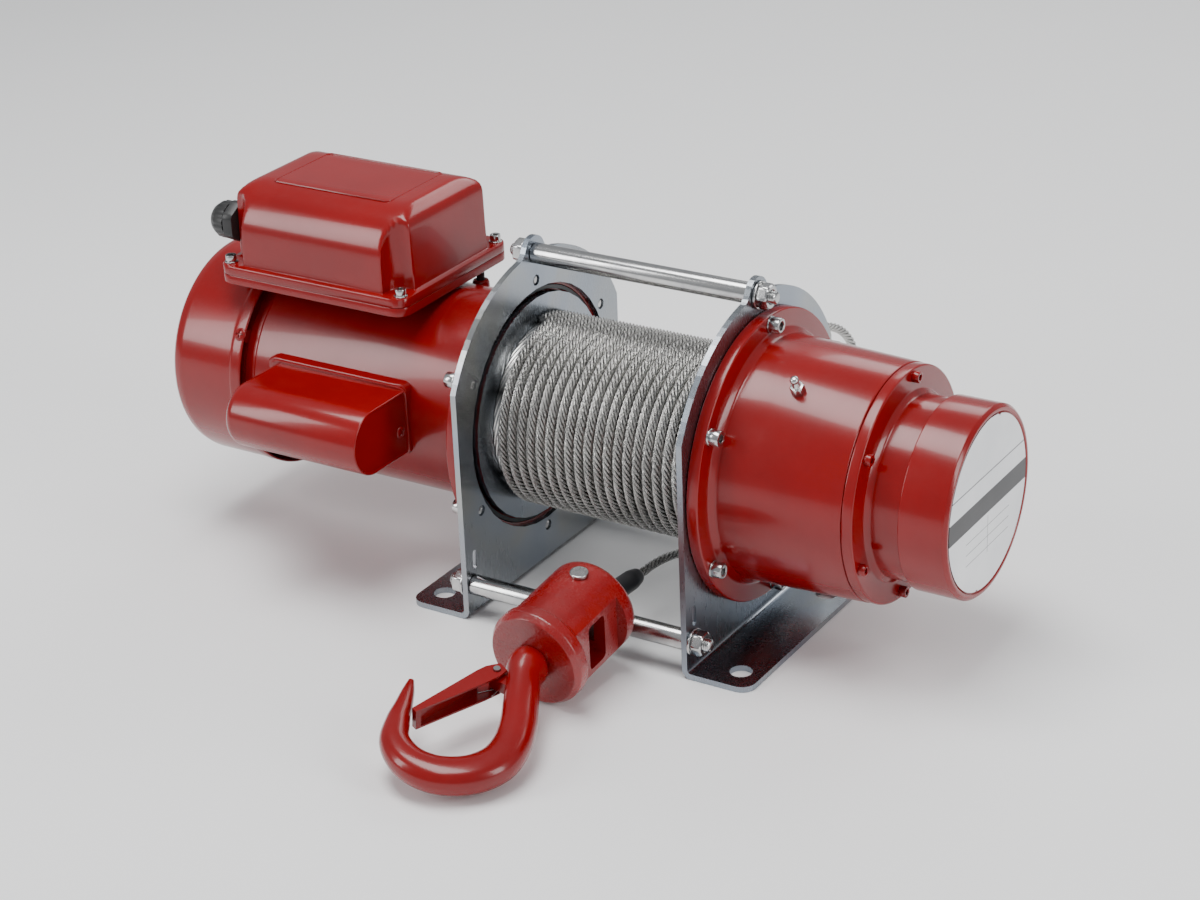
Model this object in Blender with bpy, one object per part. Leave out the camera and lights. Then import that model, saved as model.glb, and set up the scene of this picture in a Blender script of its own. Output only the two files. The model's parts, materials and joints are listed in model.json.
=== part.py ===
"""Electric wire rope puller: a motor and a planetary gearbox on either side of a rope drum.

Two bent side plates, tied by three bars, carry everything. The drum turns on the axis along X.
Lengths are in metres. Pieces on the machine are placed from the drum's axis, midway between the
plates, with -Y at the front. The free rope and the hook are placed from the floor.
"""

import math

import bmesh
import bpy
from mathutils import Euler, Matrix, Vector

# Clearances
GAP = 0.0003
RUNNING = 0.001

# Frame
AXIS_HEIGHT = 0.133
PLATE_SPAN = 0.1853
PLATE_THICKNESS = 0.0045
PLATE_ARC = 0.1245
PLATE_HALF_WIDTH = 0.1133
PLATE_HOLE = 0.0956
FOOT_REACH = 0.05
BEND_RADIUS = 0.003
FOOT_CORNER = 0.011
FOOT_HOLE = 0.0085
FOOT_HOLE_INSET = 0.0175
FOOT_HOLES_Y = (-0.092, 0.042)
SLOT_SIZE = (0.005, 0.0165)
SLOT_PLACE = (-0.1015, -0.0865)
EAR_RADIUS = 0.0135
EAR_FILLET = 0.012
BAR_RADIUS = 0.008
STUD_RADIUS = 0.005
STUD_REACH = 0.016
UPPER_BAR = (0.0, 0.1245)
FRONT_BAR = (-0.104, -0.1065)
REAR_BAR = (0.104, -0.1065)
NUT_FLATS = 0.017
NUT_THICKNESS = 0.0085
WASHER_RADIUS = 0.0105
WASHER_THICKNESS = 0.002

# Flanges bolted to the plates
FLANGE_RADIUS = 0.110
FLANGE_THICKNESS = 0.0092
FLANGE_RECESS = 0.093
SCREW_CIRCLE = 0.1025
SCREW_HOLE = 0.0045

# Drum and rope
DRUM_FLANGE_RADIUS = 0.0886
DRUM_FLANGE_THICKNESS = 0.0085
BARREL_RADIUS = 0.050
BARREL_WALL = 0.008
DRUM_WEB = 0.013
WINDING_RADIUS = 0.075
ROPE_RADIUS = 0.0035
SHAFT_RADIUS = 0.009
DRUM_BEARING = (0.0203, 0.0337, 0.0115)

# Planetary gearing, two stages in one ring gear
MODULE = 0.0025
SUN_TEETH = 12
PLANET_TEETH = 21
RING_TEETH = SUN_TEETH + 2 * PLANET_TEETH
ADDENDUM = 0.85 * MODULE
DEDENDUM = 1.1 * MODULE
BACKLASH = 0.0005
GEAR_WIDTH = 0.020
CARRIER_RADIUS = 0.057
PLANET_PIN = 0.006
OUTPUT_BEARING = (0.0583, 0.0747, 0.010)

# Gearbox shell
GEARBOX_ROOT_RADIUS = 0.0916
GEARBOX_END_RADIUS = 0.088
GEARBOX_LENGTH = 0.1096
GEARBOX_WALL = 0.008
COVER_THICKNESS = 0.0085
NECK_RADIUS = 0.067
NECK_LENGTH = 0.0264
CAP_RADIUS = 0.071
CAP_LENGTH = 0.0364
RATING_DISC_RADIUS = 0.0647
NIPPLE_ANGLE = 120.0
NIPPLE_OFFSET = 0.0555

# Motor
MOTOR_RADIUS = 0.081
MOTOR_WALL = 0.006
MOTOR_LENGTH = 0.2105
FAN_COVER_RADIUS = 0.0892
FAN_COVER_LENGTH = 0.0725
FAN_COVER_WALL = 0.002
MOTOR_SHAFT_RADIUS = 0.012
CORE_LENGTH = 0.100
ROTOR_RADIUS = 0.0454
MOTOR_BEARING = (0.0123, 0.0237, 0.011)
FAN_RADIUS = 0.070
FAN_BLADES = 8

# Terminal box, on top of the motor
BOX_SIZE = (0.176, 0.146)
BOX_CENTRE_X = -0.2527
BOX_BASE_Z = 0.0835
BOX_BASE_HEIGHT = 0.0075
BOX_FLANGE_HEIGHT = 0.0072
BOX_TOP_Z = 0.160
BOX_WALL = 0.0025
BOX_CORNER = 0.012
BOX_INSET = (0.0045, 0.005)
BOX_SHOULDER = (0.013, 0.026)
BOX_INNER_CORNER = 0.036
BOX_SCREWS = (0.0805, 0.064)
BOX_FLUTE = 0.011
GLAND_PLACE = (-0.043, 0.124)
GLAND_FLATS = 0.030
GLAND_LENGTH = 0.027
LEAD_PLACE = (-0.1715, 0.040)
LEAD_RADIUS = 0.0032

# Capacitor, in front of the motor
CAPACITOR_CENTRE_X = -0.2232
CAPACITOR_COVER_LENGTH = 0.125
CAPACITOR_COVER_RADIUS = 0.0255
CAPACITOR_AXIS = (-0.1243, 0.0055)
CAPACITOR_WALL = 0.002
CAPACITOR_RADIUS = 0.0215
CAPACITOR_LENGTH = 0.100
PAD_FACE_Y = -0.0825

# Hook block, hook and rope end, placed from the floor
BLOCK_PIN = (0.0249, -0.1386, 0.0467)
BLOCK_PITCH = 8.0
BLOCK_ROLL = 5.0
BLOCK_YAW = -1.6
BLOCK_RADIUS = 0.036
BLOCK_FRONT = 0.062
BLOCK_BACK = 0.021
BLOCK_COLLAR_RADIUS = 0.0382
BLOCK_COLLAR_LENGTH = 0.015
BLOCK_EDGE = 0.009
WINDOW_SPAN = (0.011, 0.031)
WINDOW_HALF_HEIGHT = 0.019
FLAT_HALF_WIDTH = 0.0275
REAR_SLOT = (0.018, 0.010)
PIN_RADIUS = 0.006
PIN_HEAD_RADIUS = 0.0068
SHANK_RADIUS = 0.009
HOOK_ROLL = 5.0
LATCH_PIVOT = (0.029, 0.0105)
LATCH_END = (0.0955, 0.0335)
LATCH_HEIGHT = 0.017
LATCH_SHEET = 0.0015
RIVET_RADIUS = 0.0025
ROPE_YAW = 3.9
FERRULE_RADIUS = 0.0078
FERRULE_SPAN = (0.0285, 0.073)
THIMBLE_RADIUS = 0.0135
THIMBLE_THICKNESS = 0.009

# Places that follow from the sizes above
PLATE_INNER = PLATE_SPAN / 2
PLATE_OUTER = PLATE_INNER + PLATE_THICKNESS
FLANGE_BACK = PLATE_OUTER + GAP
FLANGE_FRONT = FLANGE_BACK + FLANGE_THICKNESS
DRUM_END = PLATE_INNER + DRUM_FLANGE_THICKNESS
RECESS_FLOOR = DRUM_END + RUNNING
GEARBOX_END = FLANGE_BACK + GEARBOX_LENGTH
COVER_BACK = GEARBOX_END + GAP
COVER_FRONT = COVER_BACK + COVER_THICKNESS
NECK_END = COVER_FRONT + NECK_LENGTH - GAP
CAP_BACK = NECK_END + GAP
CAP_FRONT = CAP_BACK + CAP_LENGTH
MOTOR_FRONT = -FLANGE_FRONT - GAP
MOTOR_BACK = MOTOR_FRONT - MOTOR_LENGTH
SHIELD_FRONT = MOTOR_BACK - GAP
SHIELD_BACK = SHIELD_FRONT - 0.0077
FAN_COVER_LIP = MOTOR_BACK + 0.0013
FAN_COVER_END = FAN_COVER_LIP - FAN_COVER_LENGTH
OUTPUT_BEARING_X = RECESS_FLOOR + 0.0021
CARRIER_FRONT = OUTPUT_BEARING_X + OUTPUT_BEARING[2] + 0.0074
STAGE_2_X = CARRIER_FRONT + 0.0005
FIRST_CARRIER_BACK = STAGE_2_X + GEAR_WIDTH + 0.0025
FIRST_CARRIER_FRONT = FIRST_CARRIER_BACK + 0.012
STAGE_1_X = FIRST_CARRIER_FRONT + 0.0005
RING_START = STAGE_2_X - 0.0045
RING_END = STAGE_1_X + GEAR_WIDTH + 0.010
RING_PITCH = RING_TEETH * MODULE / 2
PLANET_ORBIT = (SUN_TEETH + PLANET_TEETH) * MODULE / 2
RING_OUTSIDE = GEARBOX_END_RADIUS - GEARBOX_WALL - GAP
SHAFT_BORE = SHAFT_RADIUS + 0.0005
CENTRE_X = (FAN_COVER_END + CAP_FRONT) / 2
CENTRE_Y = (CAPACITOR_AXIS[0] - CAPACITOR_COVER_RADIUS + PLATE_HALF_WIDTH) / 2

# Sides of the polygons that stand for circles: large, middle and small ones
ROUND = 36
MEDIUM = 24
SMALL = 16

RED = (0.55, 0.012, 0.012)
ZINC = (0.55, 0.58, 0.62)
STEEL = (0.6, 0.6, 0.6)
BLACK = (0.02, 0.02, 0.02)
ROPE_GREY = (0.5, 0.5, 0.48)
COPPER = (0.6, 0.3, 0.15)


def clear_scene():
    for old in list(bpy.data.objects):
        bpy.data.objects.remove(old, do_unlink=True)


def finish(name, colour, roughness, metallic):
    material = bpy.data.materials.new(name)
    material.use_nodes = True
    shader = material.node_tree.nodes["Principled BSDF"]
    shader.inputs["Base Color"].default_value = (*colour, 1.0)
    shader.inputs["Roughness"].default_value = roughness
    shader.inputs["Metallic"].default_value = metallic
    return material


def frame_empty(name, parent, location=(0, 0, 0), rotation=(0, 0, 0)):
    empty = bpy.data.objects.new(name, None)
    bpy.context.scene.collection.objects.link(empty)
    empty.parent = parent
    empty.location = location
    empty.rotation_euler = Euler([math.radians(angle) for angle in rotation], "XYZ")
    return empty


def place(name, bm, material, parent, location=(0, 0, 0), smooth=True):
    """Makes one node from a finished bmesh, hung from a parent empty."""
    mesh = bpy.data.meshes.new(name)
    bm.to_mesh(mesh)
    bm.free()
    mesh.materials.append(material)
    if smooth:
        mesh.shade_smooth()
        mesh.set_sharp_from_angle(angle=math.radians(35))
    piece = bpy.data.objects.new(name, mesh)
    bpy.context.scene.collection.objects.link(piece)
    piece.parent = parent
    piece.location = location
    return piece


def helper(name, bm, parent, location=(0, 0, 0)):
    """A cutter or a tool shape: it is never drawn."""
    tool = place(name, bm, bpy.data.materials["cutter"], parent, location, smooth=False)
    tool.hide_render = True
    tool.display_type = "WIRE"
    return tool


def boolean(piece, tool, operation="DIFFERENCE"):
    modifier = piece.modifiers.new(tool.name, "BOOLEAN")
    modifier.operation = operation
    modifier.object = tool


def arc(centre, radius, start, end, steps):
    """Points of an arc, its two ends included; angles are in degrees."""
    angles = [math.radians(start + (end - start) * i / steps) for i in range(steps + 1)]
    return [(centre[0] + radius * math.cos(a), centre[1] + radius * math.sin(a)) for a in angles]


def ring_points(centre, radius, steps):
    return arc(centre, radius, 0, 360, steps)[:-1]


def rounded_rectangle(centre, size, corner, steps=4):
    half = (size[0] / 2 - corner, size[1] / 2 - corner)
    points = []
    for turn, (side_x, side_y) in enumerate([(1, 1), (-1, 1), (-1, -1), (1, -1)]):
        middle = (centre[0] + side_x * half[0], centre[1] + side_y * half[1])
        points += arc(middle, corner, 90 * turn, 90 * turn + 90, steps)
    return points


def hexagon(flats, turn=0.0):
    radius = flats / 2 / math.cos(math.radians(30))
    return arc((0, 0), radius, turn, turn + 360, 6)[:-1]


def turned(profile, steps=ROUND):
    """A solid turned about X from (x, radius) points; a profile off the axis is a closed ring."""
    bm = bmesh.new()
    corners = [bm.verts.new((x, 0, radius)) for x, radius in profile]
    edges = [bm.edges.new(pair) for pair in zip(corners, corners[1:])]
    if profile[0][1] > 0 and profile[-1][1] > 0:
        edges.append(bm.edges.new((corners[-1], corners[0])))
    bmesh.ops.spin(
        bm, geom=corners + edges, axis=(1, 0, 0), cent=(0, 0, 0), steps=steps, angle=2 * math.pi
    )
    bmesh.ops.remove_doubles(bm, verts=bm.verts, dist=1e-6)
    bmesh.ops.recalc_face_normals(bm, faces=bm.faces)
    return bm


def tube_wall(x_span, inner, outer):
    return [(x_span[0], inner), (x_span[0], outer), (x_span[1], outer), (x_span[1], inner)]


def prism(loops, low, high, axis="X"):
    """Closed outlines (the first outside, the others holes) extruded along one axis."""
    order = {"X": (2, 0, 1), "Y": (0, 2, 1), "Z": (0, 1, 2)}[axis]
    bm = bmesh.new()
    edges = []
    for loop in loops:
        corners = []
        for a, b in loop:
            flat = (a, b, low)
            corners.append(bm.verts.new([flat[order[i]] for i in range(3)]))
        edges += [bm.edges.new((corners[i - 1], corners[i])) for i in range(len(corners))]
    bmesh.ops.triangle_fill(bm, use_beauty=True, use_dissolve=False, edges=edges)
    raised = bmesh.ops.extrude_face_region(bm, geom=bm.faces[:])
    shift = Vector([(0, 0, high - low)[order[i]] for i in range(3)])
    moved = [item for item in raised["geom"] if isinstance(item, bmesh.types.BMVert)]
    bmesh.ops.translate(bm, verts=moved, vec=shift)
    bmesh.ops.recalc_face_normals(bm, faces=bm.faces)
    return bm


def lofted(sections):
    """A closed skin through rings of equally many points, with a flat cap at each end."""
    bm = bmesh.new()
    rings = [[bm.verts.new(point) for point in section] for section in sections]
    count = len(rings[0])
    for ring, following in zip(rings, rings[1:]):
        for i in range(count):
            j = (i + 1) % count
            bm.faces.new((ring[i], ring[j], following[j], following[i]))
    bm.faces.new(rings[0])
    bm.faces.new(rings[-1])
    bmesh.ops.recalc_face_normals(bm, faces=bm.faces)
    return bm


def flat_section(points, height):
    return [(x, y, height) for x, y in points]


# ---------------------------------------------------------------- frame


def ear_outline():
    """The plate's top lobe round the upper bar, with a hollow fillet down to the big arc."""
    distance = UPPER_BAR[1]
    big = PLATE_ARC + EAR_FILLET
    small = EAR_RADIUS + EAR_FILLET
    z = (big**2 + distance**2 - small**2) / (2 * distance)
    y = math.sqrt(big**2 - z**2)
    foot_angle = math.degrees(math.atan2(z, y))
    ear_angle = math.degrees(math.atan2(z - distance, y))
    right = arc((y, z), EAR_FILLET, foot_angle + 180, ear_angle + 180, 5)
    crown = arc((0, distance), EAR_RADIUS, ear_angle, 180 - ear_angle, 12)
    left = [(-a, b) for a, b in reversed(right)]
    return foot_angle, right + crown[1:-1] + left


def plate_outline():
    """The side plate seen along X, from its front lower corner round to its rear one."""
    shoulder = math.degrees(math.acos(PLATE_HALF_WIDTH / PLATE_ARC))
    foot_angle, ear = ear_outline()
    rear = arc((0, 0), PLATE_ARC, shoulder, foot_angle, 14)
    front = [(-a, b) for a, b in reversed(rear)]
    low = -AXIS_HEIGHT - 0.01
    corners = [(-PLATE_HALF_WIDTH, low), (PLATE_HALF_WIDTH, low)]
    return corners + rear[:-1] + ear + front[1:]


def bent_section(side):
    """The plate's L in the X-Z plane, with its rounded bend; side is 1 on the right."""
    floor = -AXIS_HEIGHT
    top = UPPER_BAR[1] + EAR_RADIUS + 0.01
    end = PLATE_OUTER + FOOT_REACH
    outer_bend = BEND_RADIUS + PLATE_THICKNESS
    bend = (PLATE_INNER + outer_bend, floor + outer_bend)
    points = [(PLATE_INNER, top)]
    points += arc(bend, outer_bend, 180, 270, 5)
    points += [(end, floor), (end, floor + PLATE_THICKNESS)]
    points += arc(bend, BEND_RADIUS, 270, 180, 4)
    points.append((PLATE_OUTER, top))
    return [(side * x, z) for x, z in points]


def screw_places():
    angles = [math.radians(30 + 60 * i) for i in range(6)]
    return [(SCREW_CIRCLE * math.cos(a), SCREW_CIRCLE * math.sin(a)) for a in angles]


def side_plate(name, side, zinc, axis):
    reach = PLATE_OUTER + FOOT_REACH
    bent = prism([bent_section(side)], -PLATE_HALF_WIDTH, PLATE_HALF_WIDTH, "Y")
    plate = place(name, bent, zinc, axis)
    holes = [ring_points((0, 0), PLATE_HOLE, ROUND)]
    holes += [ring_points(spot, SCREW_HOLE, 8) for spot in screw_places()]
    holes += [ring_points(spot, STUD_RADIUS + GAP, 12) for spot in (UPPER_BAR, FRONT_BAR, REAR_BAR)]
    holes.append(rounded_rectangle(SLOT_PLACE, SLOT_SIZE, SLOT_SIZE[0] / 2 - 1e-5, 3))
    low, high = sorted((side * (PLATE_INNER - 0.002), side * (reach + 0.002)))
    seen_from_side = prism([plate_outline()] + holes, low, high, "X")
    boolean(plate, helper(name + "_outline", seen_from_side, axis), "INTERSECT")
    middle = side * (PLATE_INNER + reach) / 2
    size = (reach - PLATE_INNER + 2 * FOOT_CORNER, 2 * PLATE_HALF_WIDTH)
    outline = rounded_rectangle((middle - side * FOOT_CORNER, 0), size, FOOT_CORNER, 5)
    foot_hole_x = side * (reach - FOOT_HOLE_INSET)
    foot_holes = [ring_points((foot_hole_x, y), FOOT_HOLE, MEDIUM) for y in FOOT_HOLES_Y]
    top = UPPER_BAR[1] + EAR_RADIUS + 0.02
    seen_from_above = prism([outline] + foot_holes, -AXIS_HEIGHT - 0.02, top, "Z")
    boolean(plate, helper(name + "_foot_outline", seen_from_above, axis), "INTERSECT")
    return plate


def tie_bar(name, spot, steel, axis):
    end = PLATE_OUTER + STUD_REACH
    half = [(PLATE_INNER - GAP, STUD_RADIUS), (end, STUD_RADIUS)]
    profile = [(-end, 0)] + [(-x, r) for x, r in reversed(half)]
    profile += [(-(PLATE_INNER - GAP), BAR_RADIUS), (PLATE_INNER - GAP, BAR_RADIUS)]
    profile += half + [(end, 0)]
    return place(name, turned(profile, SMALL), steel, axis, (0, *spot))


def bar_nut(name, spot, side, zinc, axis):
    """A flanged nut: a round washer face with the hexagon on its outer side."""
    bore = ring_points((0, 0), STUD_RADIUS + GAP, 12)
    start = PLATE_OUTER + GAP
    face = start + WASHER_THICKNESS
    low, high = sorted((side * (face - 0.0001), side * (face + NUT_THICKNESS)))
    nut = place(name, prism([hexagon(NUT_FLATS, 12), bore], low, high), zinc, axis, (0, *spot))
    low, high = sorted((side * start, side * face))
    disc = prism([ring_points((0, 0), WASHER_RADIUS, SMALL), bore], low, high)
    boolean(nut, helper(name + "_face", disc, axis, (0, *spot)), "UNION")


def build_frame(axis, looks):
    side_plate("left_side_plate", -1, looks["zinc"], axis)
    side_plate("right_side_plate", 1, looks["zinc"], axis)
    bars = {"upper": UPPER_BAR, "front": FRONT_BAR, "rear": REAR_BAR}
    for where, spot in bars.items():
        tie_bar(f"{where}_tie_bar", spot, looks["bright"], axis)
        bar_nut(f"{where}_left_nut", spot, -1, looks["zinc"], axis)
        bar_nut(f"{where}_right_nut", spot, 1, looks["zinc"], axis)


# ---------------------------------------------------------------- drum and rope winding


def build_drum(axis, looks):
    left_bore = DRUM_BEARING[1] + GAP
    right_bore = DRUM_BEARING[1] - 0.0035
    inside = BARREL_RADIUS - BARREL_WALL
    profile = [
        (-DRUM_END, left_bore),
        (-DRUM_END, DRUM_FLANGE_RADIUS),
        (-PLATE_INNER, DRUM_FLANGE_RADIUS),
        (-PLATE_INNER, BARREL_RADIUS),
        (PLATE_INNER, BARREL_RADIUS),
        (PLATE_INNER, DRUM_FLANGE_RADIUS),
        (DRUM_END, DRUM_FLANGE_RADIUS),
        (DRUM_END, right_bore),
        (DRUM_END - DRUM_WEB, right_bore),
        (DRUM_END - DRUM_WEB, inside),
        (-DRUM_END + DRUM_WEB, inside),
        (-DRUM_END + DRUM_WEB, left_bore),
    ]
    place("rope_drum", turned(profile, ROUND), looks["zinc"], axis)
    wound = tube_wall((-PLATE_INNER + GAP, PLATE_INNER - GAP), BARREL_RADIUS + GAP, WINDING_RADIUS)
    place("rope_winding", turned(wound), looks["rope"], axis)
    end = -DRUM_END + DRUM_BEARING[2] + RUNNING
    bearing = tube_wall((end - DRUM_BEARING[2], end), *DRUM_BEARING[:2])
    place("drum_bearing", turned(bearing, MEDIUM), looks["steel"], axis)


# ---------------------------------------------------------------- gears


def involute(angle):
    return math.tan(angle) - angle


def half_tooth_angle(teeth, radius, thickness):
    """Half the tooth's angle at a radius, for involute flanks of 20 degrees."""
    pitch = teeth * MODULE / 2
    pressure = math.radians(20)
    base = pitch * math.cos(pressure)
    there = math.acos(min(1.0, base / radius)) if radius > base else 0.0
    return thickness / (2 * pitch) + involute(pressure) - involute(there)


def gear_outline(teeth, inner, outer, thickness, phase):
    """Teeth as straight-sided stubs between the root and tip circles; phase is a tooth's middle."""
    points = []
    at_root = half_tooth_angle(teeth, inner, thickness)
    at_tip = half_tooth_angle(teeth, outer, thickness)
    for i in range(teeth):
        middle = phase + 2 * math.pi * i / teeth
        for radius, offset in ((inner, -at_root), (outer, -at_tip), (outer, at_tip), (inner, at_root)):
            points.append((radius * math.cos(middle + offset), radius * math.sin(middle + offset)))
    return points


def external_gear(teeth, phase):
    pitch = teeth * MODULE / 2
    thickness = math.pi * MODULE / 2 - BACKLASH
    return gear_outline(teeth, pitch - DEDENDUM, pitch + ADDENDUM, thickness, phase)


def ring_spaces(phase):
    """The ring's tooth spaces, drawn as a gear whose teeth are the gaps."""
    thickness = math.pi * MODULE / 2 + BACKLASH
    inner = RING_PITCH - ADDENDUM
    return gear_outline(RING_TEETH, inner, RING_PITCH + DEDENDUM, thickness, phase)


def fraction(angle, teeth):
    return (angle * teeth / (2 * math.pi)) % 1.0


def planet_phase(orbit_angle):
    """Turns a planet so that its gap faces the sun's tooth; the sun has a tooth at angle 0."""
    facing = 0.5 - fraction(orbit_angle, SUN_TEETH)
    return orbit_angle + math.pi - facing * 2 * math.pi / PLANET_TEETH


def ring_space_phase(orbit_angle):
    """A ring space's middle, turned so that it takes the planet's outermost tooth."""
    tooth = fraction(orbit_angle - planet_phase(orbit_angle), PLANET_TEETH)
    return orbit_angle - tooth * 2 * math.pi / RING_TEETH


def add_pins(carrier, name, low, high, axis):
    for index in range(3):
        angle = 2 * math.pi * index / 3
        spot = (0, PLANET_ORBIT * math.cos(angle), PLANET_ORBIT * math.sin(angle))
        pin = prism([ring_points((0, 0), PLANET_PIN, 10)], low, high)
        boolean(carrier, helper(f"{name}_pin_{index + 1}", pin, axis, spot), "UNION")


def build_planets(stage, start, axis, steel):
    for index in range(3):
        angle = 2 * math.pi * index / 3
        spot = (0, PLANET_ORBIT * math.cos(angle), PLANET_ORBIT * math.sin(angle))
        bore = ring_points((0, 0), PLANET_PIN + 2 * GAP, 10)
        outline = external_gear(PLANET_TEETH, planet_phase(angle))
        gear = prism([outline, bore], start, start + GEAR_WIDTH)
        place(f"{stage}_planet_{index + 1}", gear, steel, axis, spot)


def build_carriers(axis, steel):
    hub = DRUM_BEARING[1] - 0.0035 - GAP
    bearing_inner = OUTPUT_BEARING[0] - GAP
    profile = [
        (DRUM_END - DRUM_WEB, SHAFT_BORE),
        (DRUM_END - DRUM_WEB, hub),
        (OUTPUT_BEARING_X, hub),
        (OUTPUT_BEARING_X, bearing_inner),
        (CARRIER_FRONT, bearing_inner),
        (CARRIER_FRONT, SHAFT_BORE),
    ]
    second = place("second_carrier", turned(profile), steel, axis)
    add_pins(second, "second", CARRIER_FRONT - 0.001, STAGE_2_X + GEAR_WIDTH, axis)
    disc = tube_wall((FIRST_CARRIER_BACK, FIRST_CARRIER_FRONT), SHAFT_BORE, CARRIER_RADIUS)
    first = place("first_carrier", turned(disc), steel, axis)
    add_pins(first, "first", FIRST_CARRIER_FRONT - 0.001, STAGE_1_X + GEAR_WIDTH, axis)
    bore = ring_points((0, 0), SHAFT_BORE, SMALL)
    sun = prism([external_gear(SUN_TEETH, 0.0), bore], STAGE_2_X, FIRST_CARRIER_BACK + 0.001)
    boolean(first, helper("second_sun", sun, axis), "UNION")


def build_ring(axis, steel):
    outside = ring_points((0, 0), RING_OUTSIDE, ROUND)
    spaces = ring_spaces(ring_space_phase(0.0))
    place("ring_gear", prism([outside, spaces], RING_START, RING_END), steel, axis)


def build_drive_shaft(axis, steel):
    """The shaft from the motor through the drum; its sun gear drives the first stage."""
    start = -RECESS_FLOOR - 0.0092
    end = CAP_BACK + 0.019
    spigot = SHAFT_RADIUS - 0.002
    profile = [
        (start - 0.0145, 0),
        (start - 0.0145, spigot),
        (start, spigot),
        (start, SHAFT_RADIUS),
        (end, SHAFT_RADIUS),
        (end, 0),
    ]
    shaft = place("drive_shaft", turned(profile, SMALL), steel, axis)
    sun = prism([external_gear(SUN_TEETH, 0.0)], STAGE_1_X, STAGE_1_X + GEAR_WIDTH)
    boolean(shaft, helper("first_sun", sun, axis), "UNION")


# ---------------------------------------------------------------- gearbox shell and brake


def build_gearbox(axis, looks):
    inside = GEARBOX_END_RADIUS - GEARBOX_WALL
    fillet = 0.004
    root = arc((FLANGE_FRONT + fillet, GEARBOX_ROOT_RADIUS + fillet), fillet, 180, 270, 2)
    seat = OUTPUT_BEARING_X + OUTPUT_BEARING[2] + RUNNING
    profile = [
        (FLANGE_BACK, FLANGE_RECESS),
        (FLANGE_BACK, FLANGE_RADIUS),
        (FLANGE_FRONT, FLANGE_RADIUS),
        *root,
        (GEARBOX_END, GEARBOX_END_RADIUS),
        (GEARBOX_END, inside),
        (seat, inside),
        (seat, OUTPUT_BEARING[1] + GAP),
        (OUTPUT_BEARING_X - GAP, OUTPUT_BEARING[1] + GAP),
        (OUTPUT_BEARING_X - GAP, OUTPUT_BEARING[0] + 0.007),
        (RECESS_FLOOR, OUTPUT_BEARING[0] + 0.007),
        (RECESS_FLOOR, FLANGE_RECESS),
    ]
    place("gearbox_housing", turned(profile), looks["red"], axis)
    bearing = (OUTPUT_BEARING_X, OUTPUT_BEARING_X + OUTPUT_BEARING[2])
    place("output_bearing", turned(tube_wall(bearing, *OUTPUT_BEARING[:2])), looks["steel"], axis)
    wall = COVER_BACK + 0.0095
    cover = [
        (COVER_BACK, SHAFT_BORE),
        (COVER_BACK, GEARBOX_END_RADIUS - 0.0004),
        (COVER_FRONT, GEARBOX_END_RADIUS - 0.0004),
        *arc((COVER_FRONT + 0.003, NECK_RADIUS + 0.003), 0.003, 180, 270, 2),
        (NECK_END, NECK_RADIUS),
        (NECK_END, NECK_RADIUS - 0.005),
        (wall, NECK_RADIUS - 0.005),
        (wall, SHAFT_BORE),
    ]
    place("gearbox_cover", turned(cover), looks["red"], axis)
    build_cap(axis, looks)
    build_brake(axis, looks, wall)
    build_nipple(axis, looks["bright"])


def build_cap(axis, looks):
    rim = RATING_DISC_RADIUS + GAP
    chamfer = 0.0025
    inside = CAP_RADIUS - 0.005
    friction_face = CAP_BACK + 0.0168
    profile = [
        (CAP_FRONT - 0.001, 0),
        (CAP_FRONT - 0.001, rim),
        (CAP_FRONT, rim + 0.0008),
        (CAP_FRONT, CAP_RADIUS - chamfer),
        (CAP_FRONT - chamfer, CAP_RADIUS),
        (CAP_BACK, CAP_RADIUS),
        (CAP_BACK, inside),
        (friction_face, inside),
        (friction_face, inside / 2),
        (CAP_FRONT - 0.009, inside / 2),
        (CAP_FRONT - 0.009, 0),
    ]
    place("brake_cap", turned(profile), looks["red"], axis)
    disc = [
        (CAP_FRONT - 0.001 + GAP, 0),
        (CAP_FRONT - 0.001 + GAP, RATING_DISC_RADIUS),
        (CAP_FRONT - 0.0002, RATING_DISC_RADIUS),
        (CAP_FRONT - 0.0002, 0),
    ]
    place("rating_disc", turned(disc), looks["bright"], axis)


def build_brake(axis, looks, wall):
    """Coil in the neck, armature plate that it pulls, and friction disc on the shaft."""
    outer = NECK_RADIUS - 0.0055
    coil = (wall + GAP, CAP_BACK - 0.0015)
    place("brake_coil", turned(tube_wall(coil, 0.020, outer), MEDIUM), looks["black"], axis)
    armature = (coil[1] + 0.0009, coil[1] + 0.0059)
    plate = tube_wall(armature, 0.020, outer - 0.0015)
    place("brake_armature", turned(plate, MEDIUM), looks["steel"], axis)
    disc = (armature[1] + GAP, CAP_BACK + 0.0165)
    friction = tube_wall(disc, SHAFT_RADIUS + GAP, outer - 0.0035)
    place("brake_disc", turned(friction, MEDIUM), looks["black"], axis)


def build_nipple(axis, bright):
    """A grease nipple screwed radially into the shell: hexagon, neck and ball end."""
    angle = math.radians(NIPPLE_ANGLE)
    share = (NIPPLE_OFFSET - FLANGE_THICKNESS) / (GEARBOX_LENGTH - FLANGE_THICKNESS)
    radius = GEARBOX_ROOT_RADIUS + share * (GEARBOX_END_RADIUS - GEARBOX_ROOT_RADIUS) + 0.0009
    profile = [
        (0, 0),
        (0, 0.0052),
        (0.0065, 0.0052),
        (0.008, 0.0032),
        (0.0105, 0.0022),
        (0.0125, 0.0033),
        (0.0145, 0.003),
        (0.0155, 0),
    ]
    bm = turned(profile, 12)
    turn = Matrix.Rotation(-math.pi / 2, 4, "Y")
    bmesh.ops.transform(bm, matrix=Matrix.Rotation(angle - math.pi / 2, 4, "X") @ turn, verts=bm.verts)
    spot = (FLANGE_BACK + NIPPLE_OFFSET, radius * math.cos(angle), radius * math.sin(angle))
    place("grease_nipple", bm, bright, axis, spot)


# ---------------------------------------------------------------- motor


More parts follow.
